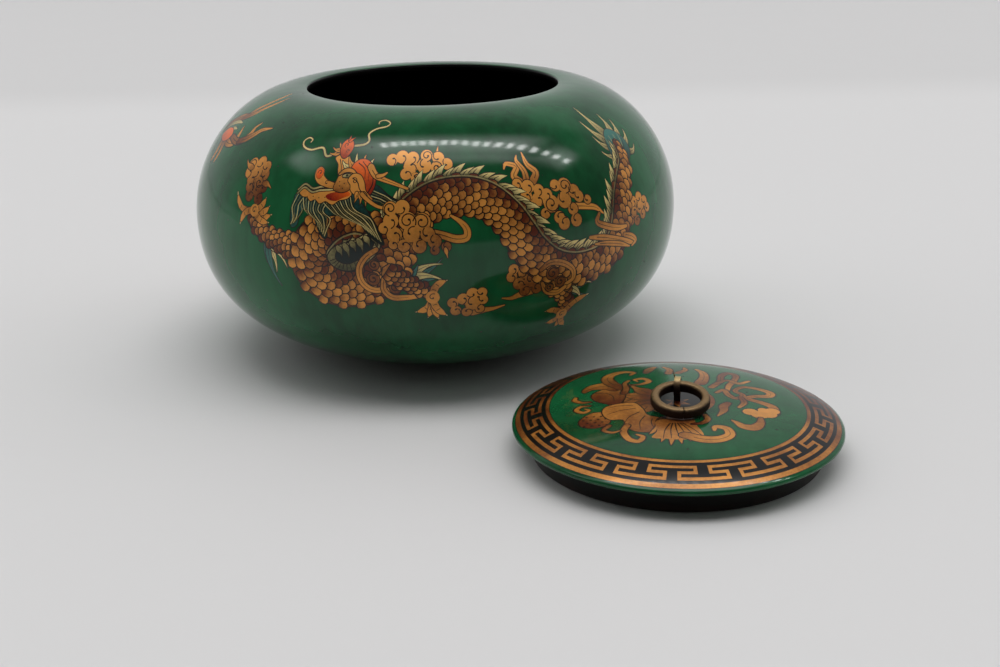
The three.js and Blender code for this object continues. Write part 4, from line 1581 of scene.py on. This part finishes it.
@dataclass
class Shell:
    """Collects the faces of one closed turned body and makes its mesh."""

    middle: tuple[float, float] = (0.0, 0.0)
    sides: int = 240
    seam_deg: float = 98.0
    points: list[np.ndarray] = field(default_factory=list)
    normals: list[np.ndarray] = field(default_factory=list)
    faces: list[tuple[int, ...]] = field(default_factory=list)
    paints: list[int] = field(default_factory=list)
    tones: list[float] = field(default_factory=list)
    count: int = 0

    def bearings(self) -> np.ndarray:
        """The bearing of each side, in degrees from the front, with the seam at both ends."""
        return self.seam_deg - 360 + np.arange(self.sides + 1) * 360 / self.sides

    def spread(self, bearings: np.ndarray, place: np.ndarray, out: np.ndarray) -> None:
        """Adds points at bearings round the axis.

        Args:
            bearings: The bearing of each point, in degrees.
            place: The radius and height of each.
            out: The outward normal of each, in the same plane.
        """
        turn = np.radians(bearings)
        round_way = np.stack([np.sin(turn), -np.cos(turn)], 1)
        flat = round_way * place[:, :1] + self.middle
        self.points.append(np.column_stack([flat, place[:, 1]]))
        self.normals.append(np.column_stack([round_way * out[:, :1], out[:, 1]]))
        self.count += len(bearings)

    def turn(self, profile: Profile, runs: np.ndarray, paint: Paint) -> None:
        """Turns a stretch of a profile.

        Args:
            profile: The profile.
            runs: The lengths along it where rings of points lie.
            paint: The finish of its faces.
        """
        place, out = profile.at(runs)
        bearings = self.bearings()
        first = self.count
        for radius_height, normal in zip(place, out):
            self.spread(bearings, np.tile(radius_height, (len(bearings), 1)), np.tile(normal, (len(bearings),
                1)))
        wide = len(bearings)
        for ring in range(len(runs) - 1):
            low, high = first + ring * wide, first + (ring + 1) * wide
            for side in range(self.sides):
                corners = (low + side, low + side + 1, high + side + 1, high + side)
                if place[ring, 0] < 1e-6:
                    corners = (low + side, high + side + 1, high + side)
                elif place[ring + 1, 0] < 1e-6:
                    corners = corners[:3]
                self._face(corners, paint)

    def _face(self, corners: tuple[int, ...], paint: Paint) -> None:
        """Adds one plain face."""
        self.faces.append(corners)
        self.paints.append(PAINTS.index(paint))
        self.tones.extend([0.5] * len(corners))

    def join(self, faces: np.ndarray, paints: np.ndarray, tones: np.ndarray) -> None:
        """Adds painted triangles over the points that were spread last.

        Args:
            faces: The triangles, by the number of the point from the first of those.
            paints: The paint of each.
            tones: The tone of each corner.
        """
        first = self.count - len(self.points[-1])
        self.faces.extend(map(tuple, (faces + first).tolist()))
        self.paints.extend(paints.tolist())
        self.tones.extend(tones.ravel().tolist())

    def build(self, name: str, materials: dict[Paint, bpy.types.Material]) -> bpy.types.Object:
        """Welds the points and makes the object.

        Args:
            name: The piece's name.
            materials: The materials by paint.

        Returns:
            The new object.
        """
        places, normals = np.vstack(self.points) * MM, np.vstack(self.normals)
        rounded = np.rint(places * 1e7).astype(np.int64)
        _, keep, new = np.unique(rounded, axis=0, return_index=True, return_inverse=True)
        new = new.ravel()
        faces = [tuple(int(new[c]) for c in corners) for corners in self.faces]
        mesh = bpy.data.meshes.new(name)
        mesh.from_pydata(places[keep].tolist(), [], faces)
        used = sorted(set(self.paints))
        for number in used:
            mesh.materials.append(materials[PAINTS[number]])
        mesh.polygons.foreach_set("material_index", np.searchsorted(used, self.paints).astype(np.int32))
        tone = mesh.attributes.new(TONE, "FLOAT", "CORNER")
        tone.data.foreach_set("value", np.array(self.tones, np.float32))
        mesh.shade_smooth()
        mesh.normals_split_custom_set_from_vertices(normals[keep].tolist())
        return placed(name, mesh)


def placed(name: str, data: bpy.types.ID) -> bpy.types.Object:
    """A new object in the scene."""
    made = bpy.data.objects.new(name, data)
    bpy.context.scene.collection.objects.link(made)
    return made


def steps(start: float, end: float, step: float) -> np.ndarray:
    """Even steps from start to end, about as far apart as asked."""
    return np.linspace(start, end, max(2, math.ceil(abs(end - start) / step) + 1))


@dataclass
class Pot:
    """The pot: a squat round body turned from wood, hollow, with a round mouth."""

    materials: dict[Paint, bpy.types.Material]
    belly_height: float = 56.0
    mouth_radius: float = 51.5
    base_radius: float = 42.2
    wall: float = 3.0
    floor: float = 4.0
    mouth_edge: float = 0.9
    foot_edge: float = 0.8
    foot_fullness: float = 0.634
    lower_fullness: float = 0.575
    upper_fullness: float = 0.608
    shoulder_fullness: float = 0.474
    foot_slope_deg: float = 13.3
    mouth_dip_deg: float = 7.1
    painted_arcs: tuple[float, float] = (-36.0, 73.0)
    back_turn_deg: float = -136.0
    black_lip: float = 0.7
    pitch: float = 3.0

    def __post_init__(self) -> None:
        """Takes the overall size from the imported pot."""
        low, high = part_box("pot")
        self.belly_radius = (high.x - low.x) / 2 / MM
        self.height = (high.z - low.z) / MM

    def outer(self) -> np.ndarray:
        """The outer curve from the foot over the belly to the mouth."""
        foot, dip = math.radians(self.foot_slope_deg), math.radians(self.mouth_dip_deg)
        foot_run = self.foot_fullness * (self.belly_radius - self.base_radius)
        shoulder_run = self.shoulder_fullness * (self.belly_radius - self.mouth_radius)
        belly, rise = (self.belly_radius, self.belly_height), self.height - self.belly_height
        lower = bezier([(self.base_radius, 0),
                        (self.base_radius + foot_run * math.cos(foot), foot_run * math.sin(foot)),
                        (self.belly_radius, self.belly_height * (1 - self.lower_fullness)), belly], 160)
        upper = bezier([belly, (self.belly_radius, self.belly_height + self.upper_fullness * rise),
            (self.mouth_radius + shoulder_run * math.cos(dip), self.height + shoulder_run * math.sin(dip)),
            (self.mouth_radius, self.height)], 160)
        return np.vstack([lower, upper[1:]])

    def profile(self) -> tuple[Profile, float, float, float]:
        """The whole half outline, from the middle of the underside round to the middle of the floor.

        Returns:
            The profile, and the lengths along it at the foot, at the belly and at the mouth's inner edge.
        """
        outer = self.outer()
        skin = Profile(outer)
        edge, dip = self.mouth_edge, self.mouth_dip_deg
        centre = (self.mouth_radius + edge,
                  self.height + edge * math.tan(math.radians(dip)) - edge / math.cos(math.radians(dip)))
        rim = arc(centre, (edge, edge), 90 + dip, 180, 6)
        kept = outer[(outer[:, 0] > rim[0, 0] + 0.05) | (outer[:, 1] < self.belly_height)]
        kept = kept[kept[:, 0] > self.base_radius + self.foot_edge]
        inner = skin.offset(self.wall)[::-1]
        inner = inner[(inner[:, 1] > self.floor + 1.5) & (inner[:, 0] > self.mouth_radius + 0.4)]
        foot = np.array([(0.0, 0.0), (self.base_radius - self.foot_edge * 2, 0.0), (self.base_radius - 0.4,
            0.02)])
        floor_radius = inner[-1, 0]
        bottom = np.array([(floor_radius - 4.0, self.floor + 0.35), (floor_radius - 8.0, self.floor),
            (0.0, self.floor)])
        throat = np.array([(self.mouth_radius, centre[1] - 1.2), (self.mouth_radius + 0.12, inner[0,
            1] + 0.4)])
        whole = Profile(np.vstack([foot, kept, rim, throat, inner, bottom]))
        belly = float(whole.run[np.argmax(whole.points[:, 0])])
        foot_run = float(whole.run[len(foot) - 1])
        mouth = float(whole.run[len(foot) + len(kept) + len(rim) - 1])
        return whole, foot_run, belly, mouth

    def build(self) -> bpy.types.Object:
        """Makes the pot and paints it.

        Returns:
            The pot's object.
        """
        profile, foot, belly, mouth = self.profile()
        low, high = (belly + arc_length for arc_length in self.painted_arcs)
        shell = Shell()
        end = float(profile.run[-1])
        shell.turn(profile, steps(0.0, foot, 10.0), BLACK)
        shell.turn(profile, steps(foot, low, self.pitch), GREEN)
        lip = mouth - self.black_lip
        shell.turn(profile, np.concatenate([steps(high, lip - 2.0, self.pitch)[:-1], steps(lip - 2.0, lip,
            0.5)]), GREEN)
        shell.turn(profile, np.concatenate([steps(lip, mouth + 4.0, 0.3)[:-1], steps(mouth + 4.0, end,
            4.0)]), BLACK)
        sheet = self._drawing()
        per_degree = math.radians(self.belly_radius)
        bearings, rows = shell.bearings(), steps(low, high, self.pitch)
        grid = np.array([(b * per_degree, row - belly) for row in rows for b in bearings])
        wide, tall = len(bearings), len(rows)
        rim = [(i, i + 1) for i in range(wide - 1)]
        rim += [((tall - 1) * wide + i, (tall - 1) * wide + i + 1) for i in range(wide - 1)]
        rim += [(j * wide + i, (j + 1) * wide + i) for j in range(tall - 1) for i in (0, wide - 1)]
        where, faces, paints, tones = sheet.cut(grid, rim)
        place, out = profile.at(where[:, 1] + belly)
        shell.spread(where[:, 0] / per_degree, place, out)
        shell.join(faces, paints, tones)
        made = shell.build("pot_lacquered", self.materials)
        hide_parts("pot")
        return made

    def _drawing(self) -> PaintSheet:
        """Draws the front dragon with its clouds, and a plainer one that meets it from behind."""
        sheet = PaintSheet(GREEN)
        per_degree = math.radians(self.belly_radius)
        # The back dragon's paint is darkened all over by dim: painted shade, a shaded copy of the front
        # dragon's gold.
        back = Brush(sheet, lambda p: (p * (-1, 1) + (self.back_turn_deg, 0)) * (per_degree, 1.0), step=1.5,
                     dim=0.3)
        Dragon(back, DragonForm(scale_length=4.9, scale_width=5.2, fin_pitch=4.4), seed=11).paint()
        Clouds(back).paint_in_front()
        front = Brush(sheet, lambda p: p * (per_degree, 1.0))
        clouds = Clouds(front)
        clouds.paint_flames()
        clouds.paint_behind()
        Dragon(front).paint()
        clouds.paint_in_front()
        return sheet


@dataclass
class Lid:
    """The lid: a shallow dome with a thin lip, and a flange below that drops into the mouth."""

    materials: dict[Paint, bpy.types.Material]
    rise: float = 8.04
    crown_share: float = 0.38
    rim_power: int = 6
    lip: float = 1.6
    flange_depth: float = 8.5
    flange_radius: float = 50.5
    flange_wall: float = 2.6
    flange_edge: float = 0.6
    wall: float = 2.6
    painted_radius: float = 56.0
    pitch: float = 2.8

    def __post_init__(self) -> None:
        """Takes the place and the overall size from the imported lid."""
        low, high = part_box("lid")
        self.middle = ((low.x + high.x) / 2 / MM, (low.y + high.y) / 2 / MM)
        self.radius = (high.x - low.x) / 2 / MM
        self.top = self.flange_depth + self.lip + self.rise

    def dome(self, radius: np.ndarray) -> np.ndarray:
        """The height of the dome at a radius."""
        share = np.asarray(radius) / self.radius
        fall = self.crown_share * share**2 + (1 - self.crown_share) * share**self.rim_power
        return self.top - self.rise * fall

    def slope(self, radius: np.ndarray) -> np.ndarray:
        """How steeply the dome falls at a radius."""
        share = np.asarray(radius) / self.radius
        crown = 2 * self.crown_share * share
        rim = self.rim_power * (1 - self.crown_share) * share**(self.rim_power - 1)
        return self.rise / self.radius * (crown + rim)

    def profile(self) -> Profile:
        """The half outline from the middle of the underside round to the middle of the top."""
        inside = self.flange_radius - self.flange_wall
        edge = self.flange_edge
        ceiling_radii = np.linspace(0, inside - 1.5, 16)
        ceiling = np.stack([ceiling_radii, self.dome(ceiling_radii) - self.wall], 1)
        corner_height = float(self.dome(inside)) - self.wall
        corner = arc((inside - 1.2, corner_height - 1.2), (1.2, 1.2), 80, 0, 4)
        lower = arc((inside + edge, edge), (edge, edge), 180, 270, 4)
        upper = arc((self.flange_radius - edge, edge), (edge, edge), 270, 360, 4)
        fillet = arc((self.flange_radius + 0.5, self.flange_depth - 0.5), (0.5, 0.5), 180, 90, 4)
        joint = self.radius - 0.6
        across = 2 * 0.6
        rise = (float(self.dome(joint)) - self.flange_depth) / (1 + math.sin(math.radians(60)))
        lip = arc((self.radius - across, self.flange_depth + rise), (across, rise), -90, 60, 8)
        top_radii = np.linspace(self.painted_radius, 0, 60)
        top = np.stack([top_radii, self.dome(top_radii)], 1)
        return Profile(np.vstack([ceiling, corner, lower, upper, fillet, lip, top]))

    def build(self) -> bpy.types.Object:
        """Makes the lid and paints it.

        Returns:
            The lid's object.
        """
        profile = self.profile()
        edge = float(np.interp(-self.painted_radius, -profile.points[-61:, 0], profile.run[-61:]))
        shell = Shell(middle=self.middle)
        rings = profile.run[profile.run < edge - 1e-6]
        lip_starts = int(np.argmax(profile.points[:len(rings), 0] > self.flange_radius + 0.45))
        shell.turn(profile, rings[:lip_starts + 1], BLACK)
        shell.turn(profile, np.append(rings[lip_starts:], edge), GREEN)
        sheet = PaintSheet(GREEN)
        LidPainting(sheet).paint()
        turn = np.radians(shell.bearings()[:-1])
        rim_points = self.painted_radius * np.stack([np.sin(turn), -np.cos(turn)], 1)
        rings_in = np.arange(self.pitch / 2, self.painted_radius - self.pitch / 2, self.pitch)
        inner = [r * np.stack([np.cos(t), np.sin(t)], 1) for r in rings_in
                 for t in [np.arange(round(FULL_TURN * r / self.pitch)) * self.pitch / r]]
        rim = [(i, (i + 1) % len(turn)) for i in range(len(turn))]
        where, faces, paints, tones = sheet.cut(np.vstack([rim_points, *inner]), rim)
        radius = np.hypot(*where.T)
        fall = self.slope(radius)
        out = np.stack([fall, np.ones_like(fall)], 1) / np.sqrt(1 + fall**2)[:, None]
        bearing = np.degrees(np.arctan2(where[:, 0], -where[:, 1]))
        shell.spread(bearing, np.stack([radius, self.dome(radius)], 1), out)
        shell.join(faces, paints, tones)
        made = shell.build("lid_lacquered", self.materials)
        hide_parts("lid")
        return made


# The brass

@dataclass
class RingPull:
    """The cast ring with its butt joint at the front, and the strap pin that holds it."""

    finish: bpy.types.Material
    lid: Lid
    inner_radius: float = 7.04
    width: float = 3.06
    depth: float = 3.8
    edge: float = 1.2
    turning_gap: float = 0.3
    touch_gap: float = 0.3
    seam: float = 0.16
    strap_width: float = 2.2
    strap: float = 0.8
    pin_turn_deg: float = 12.0
    leg_reach: float = 6.0

    def __post_init__(self) -> None:
        """Takes the eye's place from the hinge of the ring."""
        hinge = next(j for j in frame["joints"] if j["name"] == "ring_swing")
        self.eye_at = Vector(hinge["pos_m"]) / MM
        self.middle_radius = self.inner_radius + self.width / 2
        self.reach = math.hypot(self.width / 2 - self.edge, self.depth / 2 - self.edge) + self.edge
        turn = math.radians(self.pin_turn_deg)
        strap_slant = self.strap_width / 2 * math.tan(turn)
        self.eye_radius = self.reach / math.cos(turn) + strap_slant + self.turning_gap

    def lean(self) -> float:
        """How far the ring leans, so that its front lies on the dome, in radians."""
        across = 2 * self.middle_radius
        rest = float(self.lid.dome(across)) + self.reach + self.touch_gap
        return math.asin((self.eye_at.z - rest) / across)

    def build_ring(self) -> bpy.types.Object:
        """The ring: a rounded section, a little uneven from casting, with a fine open joint at the front.

        Returns:
            The ring's object.
        """
        half_width, half_depth = self.width / 2 - self.edge, self.depth / 2 - self.edge
        section = np.vstack([arc((x * half_width, y * half_depth), (self.edge, self.edge), start, start + 90,
            7) for x, y, start in ((1, 1, 0), (-1, 1, 90), (-1, -1, 180), (1, -1, 270))])
        gap = math.degrees(self.seam / self.middle_radius)
        first, last = [gap * 0.5, gap * 0.5 + 1.0], [359 - gap * 0.5, 360 - gap * 0.5]
        bearings = np.concatenate([first, np.linspace(3, 357, 119), last])
        mesh = bmesh.new()
        rings = []
        for number, bearing in enumerate(bearings):
            turn = math.radians(bearing)
            wave = 1 + 0.018 * math.sin(3 * turn + 0.6) + 0.012 * math.sin(7 * turn)
            pinch = 0.93 if number in (0, len(bearings) - 1) else 1.0
            ring = []
            for across, up in section:
                radius = self.middle_radius + across * pinch * min(1.0, wave)
                ring.append(mesh.verts.new((radius * math.sin(turn), -radius * math.cos(turn),
                                            up * pinch * min(1.0, wave))))
            rings.append(ring)
        count = len(section)
        for a, b in zip(rings, rings[1:]):
            for i in range(count):
                mesh.faces.new((a[i], b[i], b[(i + 1) % count], a[(i + 1) % count]))
        mesh.faces.new(rings[0])
        mesh.faces.new(rings[-1][::-1])
        bmesh.ops.recalc_face_normals(mesh, faces=mesh.faces)
        hang = Matrix.Translation(self.eye_at) @ Matrix.Rotation(self.lean(), 4, "X") @ Matrix.Translation(
            (0, -self.middle_radius, 0))
        made = self._finish(mesh, "ring_pull_brass", hang)
        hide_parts("pull_ring")
        return made

    def build_pin(self) -> bpy.types.Object:
        """The strap pin: one strap bent round the ring, its legs through the lid and folded over below.

        Returns:
            The pin's object.
        """
        outer = self.eye_radius + self.strap
        join = math.degrees(math.asin(self.strap / outer))
        leg_top = float(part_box("pull_pin")[0].z) / MM + self.strap
        centre = (0.0, self.eye_at.z)
        low = leg_top - self.strap
        outline = np.vstack([[(-self.leg_reach, low), (self.leg_reach, low), (self.leg_reach, leg_top),
            (self.strap + 0.5, leg_top), (self.strap, leg_top + 0.5)], arc(centre, (outer, outer),
            -90 + join, 270 - join, 49), [(-self.strap, leg_top + 0.5), (-self.strap - 0.5, leg_top),
            (-self.leg_reach, leg_top)]])
        hole = arc(centre, (self.eye_radius, self.eye_radius), 0, 352.5, 48)
        mesh = bmesh.new()
        half = self.strap_width / 2
        loops = [[mesh.verts.new((x, y, half)) for x, y in ring] for ring in (outline, hole)]
        edges = [mesh.edges.new((ring[i],
            ring[(i + 1) % len(ring)])) for ring in loops for i in range(len(ring))]
        filled = bmesh.ops.triangle_fill(mesh, edges=edges, use_beauty=True, use_dissolve=False)
        faces = [g for g in filled["geom"] if isinstance(g, bmesh.types.BMFace)]
        pushed = bmesh.ops.extrude_face_region(mesh, geom=faces)
        moved = [g for g in pushed["geom"] if isinstance(g, bmesh.types.BMVert)]
        bmesh.ops.translate(mesh, verts=moved, vec=(0, 0, -self.strap_width))
        bmesh.ops.recalc_face_normals(mesh, faces=mesh.faces)
        sharp = [e for e in mesh.edges if len(e.link_faces) == 2 and e.calc_face_angle() > math.radians(60)]
        bmesh.ops.bevel(mesh, geom=sharp, offset=0.14, segments=2, affect="EDGES", profile=0.6)
        self._add_burr(mesh)
        stand = Matrix.Translation((self.eye_at.x, self.eye_at.y, 0)) @ Matrix.Rotation(
            math.radians(90 - self.pin_turn_deg), 4, "Z") @ Matrix.Rotation(math.radians(90), 4, "X")
        made = self._finish(mesh, "strap_pin_brass", stand)
        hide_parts("pull_pin")
        return made

    def _add_burr(self, mesh: bmesh.types.BMesh) -> None:
        """A thin torn sliver of the strap that stands up beside the eye."""
        top = self.eye_at.z + self.eye_radius * 0.55
        spine = [(self.eye_radius * 0.72, top, -self.strap_width * 0.42, 0.34),
                 (self.eye_radius * 0.62, top + 1.6, -self.strap_width * 0.52, 0.27),
                 (self.eye_radius * 0.46, top + 3.1, -self.strap_width * 0.72, 0.15),
                 (self.eye_radius * 0.30, top + 4.3, -self.strap_width * 0.98, 0.04)]
        rings = [[mesh.verts.new((x + r * math.cos(t), y, z + r * math.sin(t))) for t in
                  (FULL_TURN * k / 6 for k in range(6))] for x, y, z, r in spine]
        for a, b in zip(rings, rings[1:]):
            for i in range(6):
                mesh.faces.new((a[i], a[(i + 1) % 6], b[(i + 1) % 6], b[i]))
        mesh.faces.new(rings[0])
        mesh.faces.new(rings[-1][::-1])
        bmesh.ops.recalc_face_normals(mesh, faces=mesh.faces)

    def _finish(self, mesh: bmesh.types.BMesh, name: str, place: Matrix) -> bpy.types.Object:
        """Turns a bmesh in millimetres into a smooth brass object at its place."""
        bmesh.ops.transform(mesh, matrix=Matrix.Scale(MM, 4) @ place, verts=mesh.verts)
        data = bpy.data.meshes.new(name)
        mesh.to_mesh(data)
        mesh.free()
        data.materials.append(self.finish)
        data.shade_smooth()
        data.set_sharp_from_angle(angle=math.radians(40))
        return placed(name, data)


# The studio

@dataclass
class Studio:
    """A pale floor, soft light from above with a row of small lamps, and the camera."""

    floor_reach: float = 14.0
    row_lamps: int = 18
    camera_at_mm: tuple[float, float, float] = (25.85, -594.4, 204.5)
    camera_pitch_deg: float = -19.273
    camera_roll_deg: float = -1.03
    lens: float = 51.72
    display_gamma: float = 0.92
    floor_drop_m: float = 0.0002
    soft_top_watts: float = 28.5
    fill_watts: float = 10.0
    row_watts_per_metre: float = 2.3
    row_height_m: float = 0.62
    sky_strength: float = 0.66
    glow_gain: float = 4.0

    def build(self) -> None:
        """Makes everything that isn't the pot."""
        self._floor()
        self._surroundings()
        self._lamps()
        self._camera()

    def _floor(self) -> None:
        """A large pale floor, painted a little darker far behind as painted shade."""
        mesh = bpy.data.meshes.new("floor")
        r = self.floor_reach
        mesh.from_pydata([(-r, -r, 0), (r, -r, 0), (r, r, 0), (-r, r, 0)], [], [(0, 1, 2, 3)])
        floor = placed("floor", mesh)
        floor.location.z = -self.floor_drop_m
        material, graph = new_material("pale_paper")
        point = graph.place()
        # Painted shade: the floor's colour darkens far behind.
        far = graph.part(point, "Y").step(0.52, 0.66)
        colour = graph.mix(far, linear("e0dfdf"), linear("d8d7d7"))
        graph.surface({"Base Color": colour, "Roughness": 0.7 + graph.noise(point, 60) * 0.1})
        mesh.materials.append(material)

    def _surroundings(self) -> None:
        """Soft light from all round, bright behind and dim elsewhere, as polished lacquer mirrors it."""
        world = bpy.data.worlds.new("studio")
        bpy.context.scene.world = world
        world.use_nodes = True
        graph = Graph(world.node_tree)
        way = graph.node("ShaderNodeTexCoord", output="Generated")
        height = graph.part(way, "Z").most(0.05)
        across, back = graph.part(way, "X") / height, graph.part(way, "Y") / height
        forward, up = graph.part(way, "Y"), graph.part(way, "Z")
        gap = self._window(across, back, (0.78, 0.12, 0.2), (0.48, 0.12, 0.16))
        wall = forward.step(-0.05, 0.6) * up.step(1.0, 0.66) * (1.0 - gap * 0.8)
        behind = wall.most(up.step(0.1, 0.04))
        front = forward.step(-0.3, -0.75) * up.step(0.72, 0.5) * up.step(0.04, 0.14)
        bowed = back - across * across * 0.3
        glow = self._window(across, bowed, (0.03, 0.46, 0.24), (-0.02, 0.12, 0.2)) * 5.2
        strip = self._window(across, bowed, (0.1, 0.56, 0.34), (-0.26, 0.05, 0.07)) * 2.6
        left = self._window(across, back, (-0.94, 0.15, 0.2), (0.02, 0.14, 0.2)) * 2.8
        right = self._window(across, back, (0.94, 0.14, 0.18), (0.02, 0.12, 0.16)) * 3.2
        sides = graph.mix(front, linear("707070"), linear("303030"))
        lit = (glow + strip + (left + right)) * up.step(0.2, 0.4)
        light = graph.node("ShaderNodeBackground", inputs={
            "Color": graph.mix(behind, sides, linear("f2f3f4")),
            "Strength": self.sky_strength + lit * self.glow_gain})
        graph.node_output("ShaderNodeOutputWorld", light)

    def _window(self, across: Signal, back: Signal, wide: tuple[float, float, float],
                deep: tuple[float, float, float]) -> Signal:
        """A soft patch of the sky.

        Args:
            across: Where a direction meets the ceiling, from left to right.
            back: The same from front to back.
            wide: The middle, the half width and the soft edge across.
            deep: The same from front to back.

        Returns:
            1 in the patch and 0 beyond it.
        """
        return self._spot(across, *wide) * self._spot(back, *deep)

    def _spot(self, value: Signal, middle: float, half: float, soft: float) -> Signal:
        """A soft bar: 1 near its middle, and 0 beyond its half width and its soft edge."""
        away = (value - middle).most(middle - value)
        return away.step(half + soft, half - soft * 0.5)

    def _lamp(self, name: str, at: tuple[float, float, float], size: tuple[float, float], power: float,
              aim: tuple[float, float, float] | None = (0.03, -0.05, 0.06), reflected: bool = True,
              lights: bool = True) -> None:
        """A flat lamp that faces a point, or straight down.

        Args:
            name: Its name.
            at: Its place, in metres.
            size: Its width and length, in metres.
            power: Its power, in watts.
            aim: The point it faces, or None for down.
            reflected: Whether it shows in polished surfaces.
            lights: Whether it lights dull surfaces.
        """
        data = bpy.data.lights.new(name, "AREA")
        data.shape, data.size, data.size_y, data.energy = "RECTANGLE", *size, power
        lamp = placed(name, data)
        lamp.location = at
        if aim is not None:
            lamp.rotation_euler = (Vector(aim) - Vector(at)).to_track_quat("-Z", "Y").to_euler()
        lamp.visible_camera = False
        lamp.visible_glossy = reflected
        lamp.visible_diffuse = lights

    def _lamps(self) -> None:
        """The broad soft light and the small lamps in a row."""
        self._lamp("soft_top", (0.0, 1.0, 3.0), (4.4, 4.4), self.soft_top_watts, reflected=False)
        for name, at in (("left_fill", (-2.6, 0.2, 1.1)), ("right_fill", (2.6, 0.2, 1.1))):
            self._lamp(name, at, (1.8, 1.8), self.fill_watts, reflected=False)
        for number in range(self.row_lamps):
            share = number / (self.row_lamps - 1)
            x = -0.15 + 0.5 * share + 0.265 * share ** 5
            width = 0.016 + 0.03 * share ** 4
            self._lamp(f"row_lamp_{number}", (x, -0.05, self.row_height_m), (width, 0.05),
                       width * self.row_watts_per_metre, aim=None, lights=False)

    def _camera(self) -> None:
        """The camera, at the height, tilt and distance of the photograph's."""
        data = bpy.data.cameras.new("camera")
        data.lens, data.sensor_width = self.lens, 36.0
        data.clip_start, data.clip_end = 0.01, 20.0
        camera = placed("camera", data)
        tilt = Matrix.Rotation(math.radians(90 + self.camera_pitch_deg), 4, "X")
        roll = Matrix.Rotation(math.radians(self.camera_roll_deg), 4, "Z")
        camera.matrix_world = Matrix.Translation(Vector(self.camera_at_mm) * MM) @ tilt @ roll
        bpy.context.scene.camera = camera
        bpy.context.scene.view_settings.view_transform = "Standard"
        bpy.context.scene.view_settings.gamma = self.display_gamma


def main() -> None:
    """Builds the studio and every piece, and reports each."""
    logging.basicConfig(level=logging.INFO, format="%(message)s")
    Studio().build()
    materials = finishes()
    brass = AgedBrass("aged_brass", "d9c08a", "8f7654", "2c1d13", (0.0868, -0.1335, 0.0285), 4.6).build()
    lid = Lid(materials)
    pull = RingPull(brass, lid)
    pieces = ((Pot(materials).build(), "pot_and_lid", "green_lacquer"),
              (lid.build(), "pot_and_lid", "green_lacquer"),
              (pull.build_pin(), "pot_and_lid", "aged_brass"),
              (pull.build_ring(), "pull_ring", "aged_brass"))
    for piece, body, slot in pieces:
        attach(piece, body)
        LOG.info("%s: %d faces, rides on %s", piece.name, len(piece.data.polygons), body)


if __name__ == "__main__":
    main()
